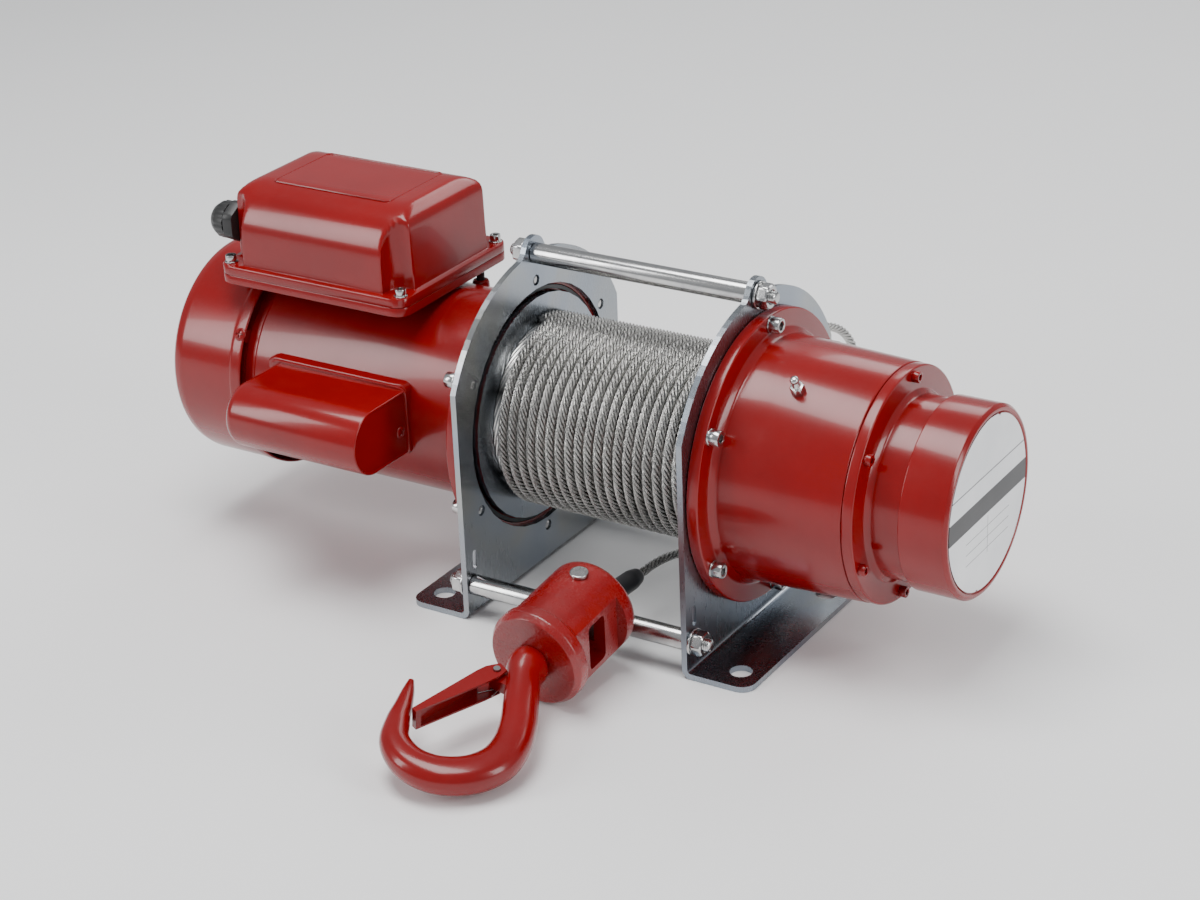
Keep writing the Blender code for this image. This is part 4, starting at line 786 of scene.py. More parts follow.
        tree.links.new(texture.outputs["Rough"], shader.inputs["Roughness"])
        self.bumped(tree, shader, wires.outputs[0], 0.00012)
        shader.inputs["Metallic"].default_value = 0.9
        return material

    def rating_disc(self) -> Any:
        """A silver disc with one dark band and thin ruled lines below it, with no lettering.

        Returns:
            The material.
        """
        material, tree, shader, place = self.start("silver_rating_disc")
        middle = (Vector(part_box("rating_disc")[0]) + Vector(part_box("rating_disc")[1])) / 2
        centred = self.node(tree, "ShaderNodeVectorMath", {0: place, 1: middle}, operation="SUBTRACT")
        split = self.node(tree, "ShaderNodeSeparateXYZ", {0: centred.outputs[0]})
        y, z = split.outputs["Y"], split.outputs["Z"]

        def band(value: Any, low: float, high: float) -> Any:
            """1 where low < value < high.

            Args:
                value: the output that is tested.
                low: lower limit.
                high: upper limit.

            Returns:
                The output of the mask.
            """
            above = self.node(tree, "ShaderNodeMath", {0: value, 1: low}, operation="GREATER_THAN")
            below = self.node(tree, "ShaderNodeMath", {0: value, 1: high}, operation="LESS_THAN")
            return self.node(tree, "ShaderNodeMath", {0: above.outputs[0], 1: below.outputs[0]},
                             operation="MULTIPLY").outputs[0]

        dark = band(z, -0.007, 0.009)
        ruled = self.node(tree, "ShaderNodeMath", {0: z, 1: 0.0085}, operation="MODULO")
        edge = self.node(tree, "ShaderNodeMath", {0: ruled.outputs[0]}, operation="ABSOLUTE")
        thin = self.node(tree, "ShaderNodeMath", {0: edge.outputs[0], 1: 0.0005}, operation="LESS_THAN")
        area_z, area_y = band(z, -0.0385, -0.0095), band(y, -0.036, 0.036)
        area = self.node(tree, "ShaderNodeMath", {0: area_z, 1: area_y}, operation="MULTIPLY")
        lines = self.node(tree, "ShaderNodeMath", {0: thin.outputs[0], 1: area.outputs[0]},
                          operation="MULTIPLY")
        middle_line = self.node(tree, "ShaderNodeMath", {0: band(y, -0.0003, 0.0003), 1: area.outputs[0]},
                                operation="MULTIPLY")
        upper_line = band(z, 0.0236, 0.0246)
        ruling = self.node(tree, "ShaderNodeMath", {0: lines.outputs[0], 1: middle_line.outputs[0]},
                           operation="MAXIMUM")
        marks = self.node(tree, "ShaderNodeMath", {0: ruling.outputs[0], 1: upper_line}, operation="MAXIMUM")
        finish = Finish("disc", (0.84, 0.85, 0.86), (0.76, 0.77, 0.79), 0.9, (0.26, 0.36), 20.0, 1100.0,
                        (1, 0.04, 1), 0.000004)
        texture = self.textured(tree, place, finish)
        base = self.mix(tree, texture.outputs["Patch"], (*finish.colour, 1), (*finish.other, 1))
        ruled_on = self.mix(tree, marks.outputs[0], base, (0.16, 0.16, 0.17, 1))
        tree.links.new(self.mix(tree, dark, ruled_on, (0.010, 0.010, 0.012, 1)), shader.inputs["Base Color"])
        tree.links.new(texture.outputs["Rough"], shader.inputs["Roughness"])
        shine = self.node(tree, "ShaderNodeMapRange", {"Value": dark, "To Min": 0.85, "To Max": 0.0})
        tree.links.new(shine.outputs[0], shader.inputs["Metallic"])
        self.bumped(tree, shader, texture.outputs["Grain"], finish.depth)
        return material

    def windings(self) -> Any:
        """A laminated core: thin rings of steel across the axis, with copper showing in patches.

        Returns:
            The material.
        """
        material, tree, shader, place = self.start("laminations_and_copper")
        split = self.node(tree, "ShaderNodeSeparateXYZ", {0: place})
        scaled = self.node(tree, "ShaderNodeMath", {0: split.outputs["X"], 1: 2 * math.pi * 900},
                           operation="MULTIPLY")
        rings = self.node(tree, "ShaderNodeMath", {0: scaled.outputs[0]}, operation="SINE")
        finish = Finish("core", (0.42, 0.24, 0.12), (0.18, 0.17, 0.16), 0.8, (0.35, 0.5), 30.0, 700.0)
        texture = self.textured(tree, place, finish)
        colour = self.mix(tree, texture.outputs["Patch"], (*finish.colour, 1), (*finish.other, 1))
        tree.links.new(colour, shader.inputs["Base Color"])
        tree.links.new(texture.outputs["Rough"], shader.inputs["Roughness"])
        self.bumped(tree, shader, rings.outputs[0], 0.00008)
        shader.inputs["Metallic"].default_value = finish.metallic
        return material


# ---------------------------------------------------------------- small hardware


@dataclass(frozen=True)
class Hardware:
    """Screws, nuts, washers and studs, drawn along +Z from the face that they sit on."""

    steps: int = 36

    def socket_screw(self, skin: Skin, matrix: Matrix, head: float, height: float, key: float) -> None:
        """A cap screw with a hexagon socket.

        Args:
            skin: where its surface goes.
            matrix: its place and direction.
            head: head diameter.
            height: head height.
            key: size of the socket across its flats.
        """
        angle = ring_angles(self.steps)
        radius, edge = head / 2, height * 0.09
        six = hexagon_reach(angle, key)
        rows = [(0.0, radius * 0.97), (0.0004, radius), (height - edge, radius),
                (height - edge / 3, radius - edge / 3)]
        rows += [(height, radius - edge), (height, key * 0.66), (height - key * 0.06, six),
                 (height * 0.45, six)]
        rows.append((height * 0.36, key * 0.08))
        skin.grid(moved(standing([(h, np.asarray(r)) for h, r in rows], self.steps), matrix), caps=True)

    def cross_screw(self, skin: Skin, matrix: Matrix, head: float, height: float) -> None:
        """A domed head with a cross recess: the dome's height dips where either arm of the cross lies.

        Args:
            skin: where its surface goes.
            matrix: its place and direction.
            head: head diameter.
            height: head height.
        """
        angle = ring_angles(48)
        share = np.array([1.0, 0.985, 0.93, 0.85, 0.72, 0.6, 0.5, 0.4, 0.3, 0.2, 0.1, 0.02])[:, None]
        reach = share * head / 2 + 0 * angle
        x, y = reach * np.cos(angle), reach * np.sin(angle)
        dome = height * np.sqrt(np.maximum(1 - share**2, 0)) + 0 * angle
        arm = np.minimum(np.abs(x), np.abs(y)) < head * 0.07
        dip = np.where(arm & (np.hypot(x, y) < head * 0.34), 0.55 * height, 0.0)
        skin.grid(moved(np.stack([x, y, dome - dip], axis=-1), matrix), caps=True)

    def washer(self, skin: Skin, matrix: Matrix, outer: float, inner: float, thickness: float) -> None:
        """A flat ring with softly rounded edges: a closed profile turned round Z.

        Args:
            skin: where its surface goes.
            matrix: its place and direction.
            outer: outer radius.
            inner: bore radius.
            thickness: its thickness.
        """
        profile = rounded([(0, inner), (0, outer), (thickness, outer), (thickness, inner)], thickness * 0.3)
        ring = turned(profile, self.steps)[..., [1, 2, 0]]
        skin.grid(moved(ring, matrix), wrap_rows=True)

    def nut(self, skin: Skin, matrix: Matrix, flats: float, thickness: float, bore: float) -> None:
        """A hexagon nut whose corners are turned off at both ends: reach = min(hexagon, cone of that height).

        Args:
            skin: where its surface goes.
            matrix: its place and direction.
            flats: size across the flats.
            thickness: its thickness.
            bore: bore radius.
        """
        angle = ring_angles(72)
        six = hexagon_reach(angle, flats)
        corner = flats / math.sqrt(3)
        heights = np.array([0.0, 0.0008, 0.0018, thickness - 0.0018, thickness - 0.0008, thickness])
        limit = corner - np.array([0.0017, 0.0006, 0.0, 0.0, 0.0006, 0.0017])
        rows = [(0.0005, np.asarray(bore)), (0.0, np.asarray(bore + 0.0006))]
        rows += [(h, np.minimum(six, cut)) for h, cut in zip(heights, limit)]
        rows += [(thickness, np.asarray(bore + 0.0006)), (thickness - 0.0005, np.asarray(bore))]
        skin.grid(moved(standing(rows, 72), matrix), wrap_rows=True)

    def thread(self, skin: Skin, matrix: Matrix, radius: float, length: float, pitch: float) -> None:
        """A threaded stud: reach = radius - depth * triangle(height/pitch - angle/turn), domed at its end.

        Args:
            skin: where its surface goes.
            matrix: its place and direction.
            radius: outer radius of the thread.
            length: its length.
            pitch: its pitch.
        """
        angle = ring_angles(24)
        height = np.arange(0, length - 0.0008, pitch / 5)[:, None]
        wave = np.abs(2 * ((height / pitch - angle / (2 * np.pi)) % 1.0) - 1)
        reach = radius - 0.6 * pitch * 0.9 * wave * 0.8
        rings = np.stack([reach * np.cos(angle), reach * np.sin(angle), height + 0 * angle], axis=-1)
        end = standing([(length - 0.0004, np.asarray(radius * 0.8)), (length, np.asarray(radius * 0.62))], 24)
        skin.grid(moved(np.concatenate([rings, end]), matrix), caps=True)


# ---------------------------------------------------------------- the machine's sub-assemblies


@dataclass
class Assembly:
    """What every sub-assembly knows: the finishes, the hardware and the drum axis's middle."""

    finishes: Workshop
    hardware: Hardware = field(default_factory=Hardware)
    middle: Array = field(init=False)

    def __post_init__(self) -> None:
        """Finds the middle of the drum's axis from the winding's box."""
        low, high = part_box("rope_winding")
        self.middle = (np.array(low) + np.array(high)) / 2

    def at(self, x: float, y: float, z: float) -> Array:
        """A place given from the middle of the drum's axis."""
        return self.middle + np.array([x, y, z])

    def round_the_axis(self, angle: float, radius: float, x: float) -> Array:
        """A place at an angle in degrees and a radius round the drum's axis."""
        turn = math.radians(angle)
        return self.at(x, radius * math.cos(turn), radius * math.sin(turn))

    def shell(self, profile: Sequence[Sequence[float]], reach: float = 0.0008, steps: int = 144) -> Skin:
        """A closed profile with rounded corners turned round the drum's axis."""
        return Skin().grid(turned(rounded(profile, reach), steps) + self.middle, wrap_rows=True)

    def place(self, piece: Any, body: str, slot: Slot, *nodes: str) -> Any:
        """Rides a piece on a body, hides the nodes that it stands for, and reports it.

        Args:
            piece: the object.
            body: the body that it rides on.
            slot: the record's material slot; not used.
            nodes: the CAD nodes that it replaces.

        Returns:
            The piece.
        """
        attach(piece, body)
        if nodes:
            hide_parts(*nodes)
        LOG.info("%s rides on %s: %d faces", piece.name, body, len(piece.data.polygons))
        return piece


@dataclass
class Gearbox(Assembly):
    """The gearbox shell, its bolted cover, the brake cap with the rating disc, and their screws."""

    flange: tuple[float, ...] = (0.09745, 0.10665)
    flange_radius: float = 0.110
    shell_end: float = 0.20705
    cover_end: float = 0.21585
    cap: tuple[float, ...] = (0.24225, 0.27865)
    screw_circle: float = 0.1035
    screw_turn: float = 30.0
    cover_screw_circle: float = 0.0815
    cover_screw_turn: float = 24.0
    screw_count: int = 6
    nipple_angle: float = 120.0
    nipple_x: float = 0.153

    def build(self) -> None:
        """Builds every piece of the gearbox's outside."""
        start, face = self.flange
        housing = self.shell([(start, 0.093), (start, self.flange_radius), (face, self.flange_radius),
                              (face, 0.0960), (face + 0.004, 0.0915), (0.140, 0.0907),
                              (self.shell_end, 0.088), (self.shell_end, 0.080), (0.1165, 0.080),
                              (0.1165, 0.075), (0.104, 0.075), (0.104, 0.0653), (0.1022, 0.0653),
                              (0.1022, 0.093)], 0.0013)
        self.place(housing.piece("gearbox_shell", self.finishes["enamel"], 50), "frame", Slot.RED,
                   "gearbox_housing")
        back = self.shell_end + GAP
        cover = self.shell([(back, 0.0095), (back, 0.0871), (back + 0.0006, 0.0876),
                            (self.cover_end - 0.0008, 0.0876), (self.cover_end, 0.0866),
                            (self.cover_end, 0.0705), (self.cover_end + 0.0035, 0.067), (0.24195, 0.067),
                            (0.24195, 0.062), (0.2169, 0.062), (0.2169, 0.0095)], 0.0010)
        self.place(cover.piece("gearbox_end_cover", self.finishes["enamel"], 50), "frame", Slot.RED,
                   "gearbox_cover")
        near, far = self.cap
        cap = self.shell([(near, 0.066), (near, 0.0706), (near + 0.0005, 0.071), (far - 0.0026, 0.071),
                          (far, 0.0685), (far, 0.0661), (far - 0.0012, 0.0652), (far - 0.0012, 0.002),
                          (far - 0.009, 0.002), (far - 0.009, 0.033), (near + 0.0168, 0.033),
                          (near + 0.0168, 0.066)], 0.0006)
        self.place(cap.piece("brake_end_cap", self.finishes["enamel"], 50), "frame", Slot.RED, "brake_cap")
        self.rating_disc(far)
        self.screws(face)
        self.grease_nipple()

    def rating_disc(self, far: float) -> None:
        """A thin disc whose rim has two small notches: the radius dips by a narrow bell at two angles.

        Args:
            far: where the cap ends.
        """
        angle = ring_angles(240)
        notch = sum(
            np.exp(-(((angle - math.radians(a) + np.pi) % (2 * np.pi) - np.pi) / 0.02) ** 2) for a in (75,
                                                                                                       255))
        rows = []
        for x, share in ((far - 0.0009, 0.995), (far - 0.0005, 1.0), (far - 0.0003, 0.998),
                         (far - 0.00025, 0.97), (far - 0.00025, 0.6), (far - 0.00025, 0.02)):
            reach = 0.0645 * share - 0.0016 * notch * (share > 0.9)
            rows.append(np.stack([x + 0 * angle, reach * np.cos(angle), reach * np.sin(angle)], axis=-1))
        skin = Skin().grid(np.array(rows) + self.middle, caps=True)
        self.place(skin.piece("silver_disc", self.finishes["disc"], 30), "frame", Slot.BRIGHT, "rating_disc")

    def screws(self, face: float) -> None:
        """Six big cap screws with washers in the flange and six small ones in the cover.

        Args:
            face: the flange's outer face.
        """
        big, small = Skin(), Skin()
        step = 360 / self.screw_count
        for index in range(self.screw_count):
            spot = self.round_the_axis(self.screw_turn + step * index, self.screw_circle, face)
            self.hardware.washer(big, aimed(spot, (1, 0, 0)), 0.0064, 0.0043, 0.0012)
            head = aimed(spot + [0.0012, 0, 0], (1, 0, 0), 0.4 * index)
            self.hardware.socket_screw(big, head, 0.0118, 0.0078, 0.006)
            turn = self.cover_screw_turn + step * index
            spot = self.round_the_axis(turn, self.cover_screw_circle, self.cover_end)
            self.hardware.socket_screw(small, aimed(spot, (1, 0, 0), 0.3 * index), 0.0085, 0.005, 0.004)
        self.place(big.piece("gearbox_flange_screws", self.finishes["bright"], 35), "frame", Slot.BRIGHT)
        self.place(small.piece("cover_screws", self.finishes["enamel"], 35), "frame", Slot.RED)

    def grease_nipple(self) -> None:
        """A hexagon base, a waist and a ball end, standing out of the shell."""
        turn = math.radians(self.nipple_angle)
        outwards = (0, math.cos(turn), math.sin(turn))
        matrix = aimed(self.round_the_axis(self.nipple_angle, 0.0898, self.nipple_x), outwards)
        angle = ring_angles(48)
        six = hexagon_reach(angle, 0.0092)
        rows = [(0.0, six), (0.0058, six), (0.0064, np.minimum(six, 0.0045)), (0.0066, 0.0032),
                (0.0085, 0.0027), (0.0105, 0.0021), (0.0114, 0.0026), (0.0124, 0.0032), (0.0136, 0.0032),
                (0.0148, 0.0025), (0.0154, 0.0013)]
        skin = Skin().grid(moved(standing([(h, np.asarray(r)) for h, r in rows], 48), matrix), caps=True)
        self.place(skin.piece("grease_fitting", self.finishes["bright"], 35), "frame", Slot.BRIGHT,
                   "grease_nipple")


@dataclass
class Motor(Assembly):
    """The motor's flange, shell, fan cover and their screws."""

    flange: tuple[float, ...] = (-0.10665, -0.09745)
    front: float = -0.10695
    back: float = -0.31745
    lip: float = -0.31615
    end: float = -0.38865
    radius: float = 0.081
    cover_radius: float = 0.0892
    screw_circle: float = 0.1035
    screw_turn: float = 30.0
    screw_count: int = 6
    lip_screws: tuple[float, ...] = (150.0, 210.0, 330.0, 30.0)
    lip_screw_x: float = -0.3207
    box_seat: tuple[float, ...] = (-0.2527, 0.0)
    capacitor_pad: tuple[float, ...] = (-0.2252, 0.0055)
    lead_boss: tuple[float, ...] = (-0.1715, 0.040)

    def build(self) -> None:
        """Builds every piece of the motor's outside."""
        far, near = self.flange
        ring = self.shell([(-0.0896, 0.010), (-0.0896, 0.020), (-0.10215, 0.020), (-0.10215, 0.093),
                           (near, 0.093), (near, 0.110), (far, 0.110), (far, 0.0747),
                           (self.front - 0.0095, 0.0747), (self.front - 0.0095, 0.030), (-0.1235, 0.030),
                           (-0.1235, 0.024), (-0.111, 0.024), (-0.111, 0.010)], 0.0012)
        self.place(ring.piece("motor_end_flange", self.finishes["enamel"], 50), "frame", Slot.RED,
                   "motor_flange")
        self.shell_piece()
        self.fan_cover()
        self.screws()

    def shell_piece(self) -> None:
        """The rolled shell with its end bands, the box seat, the capacitor's pad and the lead's boss."""
        shell = self.shell([(self.front, 0.075), (self.front, 0.0808), (self.front - 0.012, 0.0808),
                            (self.front - 0.0128, 0.0812), (self.back + 0.010, 0.0812),
                            (self.back + 0.0092, 0.0808), (self.back, 0.0808), (self.back, 0.075)], 0.0006)
        self.block(shell, self.box_seat, (0.110, 0.080), 0.008, (0.069, 0.0832), 2)
        self.block(shell, self.capacitor_pad, (0.131, 0.058), 0.006, (-0.067, -0.0825), 1)
        boss = [(0.066, 0.0072), (0.0735, 0.0068), (0.0750, 0.0060), (0.0755, 0.0045), (0.0755, 0.0036),
                (0.070, 0.0036)]
        grid = standing([(h, np.asarray(r)) for h, r in boss], 48) + self.at(*self.lead_boss, 0)
        shell.grid(grid, caps=True)
        self.place(shell.piece("motor_shell", self.finishes["enamel"], 40), "frame", Slot.RED, "motor_body")

    def block(self, skin: Skin, centre: Sequence[float], size: Sequence[float], corner: float,
              reach: Sequence[float], axis: int) -> None:
        """A raised pad: a rounded rectangle carried along an axis, with its outer edge rounded.

        Args:
            skin: where its surface goes.
            centre: its middle, in X and the other direction across.
            size: its sizes in those directions.
            corner: its corner radius.
            reach: where it starts and ends along the axis.
            axis: 1 for along Y, 2 for along Z.
        """
        angle = corner_angles(size[0] / 2, size[1] / 2, 6, 9)
        sign = 1 if reach[1] > reach[0] else -1
        rows = []
        for depth, inset in ((0.0, 0.0), (1.0, 0.0), (1.0, 0.0004), (1.0, 0.0012)):
            pulled = 0.0008 if depth and not inset else 0.0003 if inset == 0.0004 else 0
            place = reach[0] + depth * (reach[1] - reach[0]) - sign * pulled
            out = rounded_box_reach(angle, size[0] / 2 - inset, size[1] / 2 - inset, corner)
            across = [centre[0] + out * np.cos(angle), centre[1] + out * np.sin(angle)]
            level = place + 0 * angle
            rows.append(np.stack([across[0], level, across[1]] if axis == 1 else [*across, level], axis=-1))
        skin.grid(np.array(rows) + self.middle, caps=True)

    def fan_cover(self) -> None:
        """A deep cup with a rolled lip and, in its end, two rings of air slots between narrow spokes."""
        end, r = self.end, self.cover_radius
        wall = 0.0016
        cup = self.shell([(self.lip, r - wall), (self.lip, r), (self.lip - 0.0095, r),
                          (self.lip - 0.0105, r - 0.0006), (end + 0.012, r - 0.0006),
                          (end + 0.0055, r - 0.0022), (end + 0.0018, r - 0.0062), (end, r - 0.012),
                          (end, 0.060), (end + wall, 0.060), (end + wall, r - 0.013),
                          (end + 0.008, r - 0.0045), (end + 0.014, r - wall - 0.0006)], 0.0022)
        for inner, outer in ((0.035, 0.050), (0.004, 0.025)):
            ring = rounded([(end + wall, inner), (end, inner), (end, outer), (end + wall, outer)], 0.0005)
            cup.grid(turned(ring, 96) + self.middle, wrap_rows=True)
        for inner, outer, bars, width in ((0.0245, 0.0355, 12, 0.0040), (0.0495, 0.0605, 24, 0.0038)):
            for index in range(bars):
                turn = 2 * math.pi * index / bars
                section = rounded([(end + 0.0001, -width / 2), (end + 0.0001, width / 2),
                                   (end + wall - 0.0001, width / 2),
                                   (end + wall - 0.0001, -width / 2)], 0.0005, steps=2)
                rows = [np.stack([section[:, 0], reach + 0 * section[:, 0], section[:, 1]],
                                 -1) for reach in (inner, outer)]
                spoke = moved(np.array(rows), Matrix.Rotation(turn, 4, "X"))
                cup.grid(spoke + self.middle, caps=True)
        self.place(cup.piece("slotted_fan_cover", self.finishes["enamel"], 50), "frame", Slot.RED,
                   "fan_cover")

    def screws(self) -> None:
        """Cap screws behind the flange, and red cross-head screws round the fan cover's lip."""
        big, small = Skin(), Skin()
        step = 360 / self.screw_count
        for index in range(self.screw_count):
            spot = self.round_the_axis(self.screw_turn + step * index, self.screw_circle, self.flange[0])
            self.hardware.washer(big, aimed(spot, (-1, 0, 0)), 0.0064, 0.0043, 0.0012)
            head = aimed(spot - [0.0012, 0, 0], (-1, 0, 0), 0.5 * index)
            self.hardware.socket_screw(big, head, 0.0118, 0.0078, 0.006)
        for angle in self.lip_screws:
            turn = math.radians(angle)
            spot = self.round_the_axis(angle, self.cover_radius - GAP, self.lip_screw_x)
            self.hardware.cross_screw(small, aimed(spot, (0, math.cos(turn), math.sin(turn))), 0.0105, 0.0017)
        self.place(big.piece("motor_flange_screws", self.finishes["bright"], 35), "frame", Slot.BRIGHT)
        self.place(small.piece("fan_cover_screws", self.finishes["enamel"], 35), "frame", Slot.RED)


@dataclass
class TerminalBox(Assembly):
    """The terminal box on the motor: its base, its drawn cover, corner screws, gland and lead."""

    centre_x: float = -0.2527
    half: tuple[float, ...] = (0.088, 0.073)
    base: tuple[float, ...] = (0.0835, 0.091)
    flange: tuple[float, ...] = (0.0913, 0.0985)
    top: float = 0.160
    inset: tuple[float, ...] = (0.0045, 0.005)
    shoulder: tuple[float, ...] = (0.015, 0.037)
    draft: float = 0.03
    screws_at: tuple[float, ...] = (0.0805, 0.064)
    flute: float = 0.0145
    corner: float = 0.012
    wall_corner: float = 0.006
    lead_place: tuple[float, ...] = (-0.1715, 0.040)
    lead_radius: float = 0.0032
    gland_at: tuple[float, ...] = (-0.3353, -0.043, 0.124)
    gland_flats: float = 0.030

    def build(self) -> None:
        """Builds the box's pieces."""
        self.cover()
        self.base_piece()
        self.corner_screws()
        self.gland()
        lead_path = self.at(*self.lead_place, 0) + np.array([[0, 0, 0.0665], [0, 0, 0.074], [0, 0, 0.0815],
                                                           [0, 0, 0.0888]])
        lead = Skin().grid(tube(evenly(lead_path, 12), (0, 1, 0), self.lead_radius, 32), caps=True)
        self.place(lead.piece("motor_cable", self.finishes["rubber"], 40), "frame", Slot.RUBBER, "motor_lead")

    def outline(self, angle: Array, height: float, fluted: bool) -> Array:
        """Reach of the cover's wall at a height.

        The wall is a rounded rectangle whose sides lean in and then follow a quarter ellipse to the
        top. Each corner's flute is a circle, and the reach is the softened lesser of the two.

        Args:
            angle: ray angles from the box's middle.
            height: height above the drum's axis.
            fluted: whether the corner flutes are cut.

        Returns:
            The reach along each ray.
        """
        halves = []
        for half, inset, shoulder in zip(self.half, self.inset, self.shoulder):
            rise = min(max(0.0, height - (self.top - shoulder)), shoulder)
            rounded_in = shoulder - math.sqrt(max(shoulder**2 - rise**2, 0))
            halves.append(half - inset - self.draft * (height - self.base[0]) - rounded_in)
        reach = rounded_box_reach(angle, halves[0], halves[1], self.wall_corner)
        if not fluted:
            return reach
        quarter = np.abs(np.mod(angle + np.pi / 2, np.pi) - np.pi / 2)
        far = math.hypot(*self.screws_at)
        off = quarter - math.atan2(self.screws_at[1], self.screws_at[0])
        inside = self.flute**2 - (far * np.sin(off)) ** 2
        near = far * np.cos(off) - np.sqrt(np.maximum(inside, 0))
        near = np.where(inside > 0, near, far * np.cos(off) + 0.004)
        blend = 0.0022
        share = np.clip(0.5 + 0.5 * (near - reach) / blend, 0, 1)
        return near * (1 - share) + reach * share - blend * share * (1 - share)

    def ring(self, angle: Array, reach: Array, height: float) -> Array:
        """One ring of points at a height.

        Args:
            angle: ray angles from the box's middle.
            reach: the reach along each ray.
            height: height above the drum's axis.

        Returns:
            The ring's points.
        """
        level = height + 0 * angle
        return np.stack([self.centre_x + reach * np.cos(angle), reach * np.sin(angle), level],
                        axis=-1) + self.middle

    def cover(self) -> None:
        """The drawn cover: a flange, fluted walls, soft shoulders and a flat top with a raised outline."""
        angle = corner_angles(*self.half, 16, 33)
        low, face = self.flange
        a, b = self.half
        rows = []
        for height, inset in ((low, 0.003), (low, 0.0002), (low + 0.0003, 0.0), (face - 0.0009, 0.0),
                              (face - 0.0002, 0.0004), (face, 0.0012)):
            rows.append(self.ring(angle, rounded_box_reach(angle, a - inset, b - inset, 0.012), height))
        foot = self.outline(angle, face, True)
        rows.append(self.ring(angle, foot + 0.0012, face))
        rows.append(self.ring(angle, foot + 0.0003, face + 0.0004))
        straight = np.linspace(face + 0.0012, self.top - max(self.shoulder), 6)
        turn = np.linspace(0.05, 1.0, 16) * math.pi / 2
        bend = self.top - max(self.shoulder) * (1 - np.sin(turn))
        for height in [*straight, *bend]:
            rows.append(self.ring(angle, self.outline(angle, float(height), True), float(height)))
        last = self.outline(angle, self.top, True)
        rows += [self.ring(angle, last * share, self.top) for share in (0.9, 0.6, 0.3, 0.02)]
        skin = Skin().grid(np.array(rows), caps=True)
        corner = np.linspace(0, np.pi / 2, 8)
        quarter = np.stack([0.0505 + 0.004 * np.cos(corner), 0.032 + 0.004 * np.sin(corner)], axis=-1)
        turns = ((1, 1, 1), (-1, 1, -1), (-1, -1, 1), (1, -1, -1))
        loop = np.concatenate([quarter[::way] * [sx, sy] for sx, sy, way in turns])
        outwards = loop / np.linalg.norm(loop, axis=1, keepdims=True)
        line = []
        for out, rise in ((-0.0009, -0.0004), (-0.0005, 0.00035), (0.0005, 0.00035), (0.0009, -0.0004)):
            flat = loop + outwards * out
            line.append(np.concatenate([flat + [self.centre_x, 0], np.full((len(flat), 1), self.top + rise)],
                                       axis=1))
        skin.grid(np.array(line) + self.middle, wrap_rows=True)
        self.place(skin.piece("drawn_box_cover", self.finishes["enamel"], 38), "frame", Slot.RED,
                   "terminal_box_cover")

    def base_piece(self) -> None:
        """The base plate under the cover: a rounded rectangle with softened edges."""
        angle = corner_angles(*self.half, 12, 17)
        low, high = self.base
        rows = []
        for height, inset in ((low, 0.0014), (low + 0.0005, 0.0004), (low + 0.001, 0), (high - 0.0003, 0),
                              (high, 0.0002), (high, 0.006), (low + 0.0025, 0.006)):
            rows.append(self.ring(angle, rounded_box_reach(angle, self.half[0] - inset, self.half[1] - inset,
                                                           0.012 - inset), height))
        skin = Skin().grid(np.array(rows), caps=True)
        self.place(skin.piece("box_base_plate", self.finishes["enamel"], 38), "frame", Slot.RED,
                   "terminal_box_base")

    def corner_screws(self) -> None:
        """Four cap screws that stand on the flange in the flutes."""
        skin = Skin()
        for sx in (-1, 1):
            for sy in (-1, 1):
                spot = self.at(self.centre_x + sx * self.screws_at[0], sy * self.screws_at[1], self.flange[1])
                self.hardware.washer(skin, aimed(spot, (0, 0, 1)), 0.0052, 0.003, 0.001)
                self.hardware.socket_screw(skin, aimed(spot + [0, 0, 0.001], (0, 0, 1), sx + 0.3 * sy),
                                           0.0085, 0.005, 0.004)
        self.place(skin.piece("box_cover_screws", self.finishes["bright"], 35), "frame", Slot.BRIGHT)

    def gland(self) -> None:
        """The cable gland: a hexagon body, a ribbed dome nut and a rubber seal with its hole."""
        angle = ring_angles(96)
        six = np.minimum(hexagon_reach(angle, self.gland_flats), 0.0163)
        ribs = 0.0142 + 0.0006 * np.abs(np.sin(angle * 9))
        rows = [(0.0, six * 0.97), (0.0008, six), (0.0082, six), (0.009, six * 0.96), (0.0092, 0.0138),
                (0.0098, 0.0138), (0.0100, ribs), (0.0175, ribs), (0.0195, ribs * 0.93), (0.0232, 0.0112),
                (0.0252, 0.0086), (0.0262, 0.0076), (0.0258, 0.0066), (0.0225, 0.0058), (0.020, 0.0010)]
        place = self.at(*self.gland_at)
        skin = Skin().grid(moved(standing([(h, np.asarray(r)) for h, r in rows], 96),
                                 aimed(place, (-1, 0, 0))), caps=True)
        self.place(skin.piece("gland_and_dome_nut", self.finishes["plastic"], 35), "frame", Slot.PLASTIC,
                   "cable_gland")


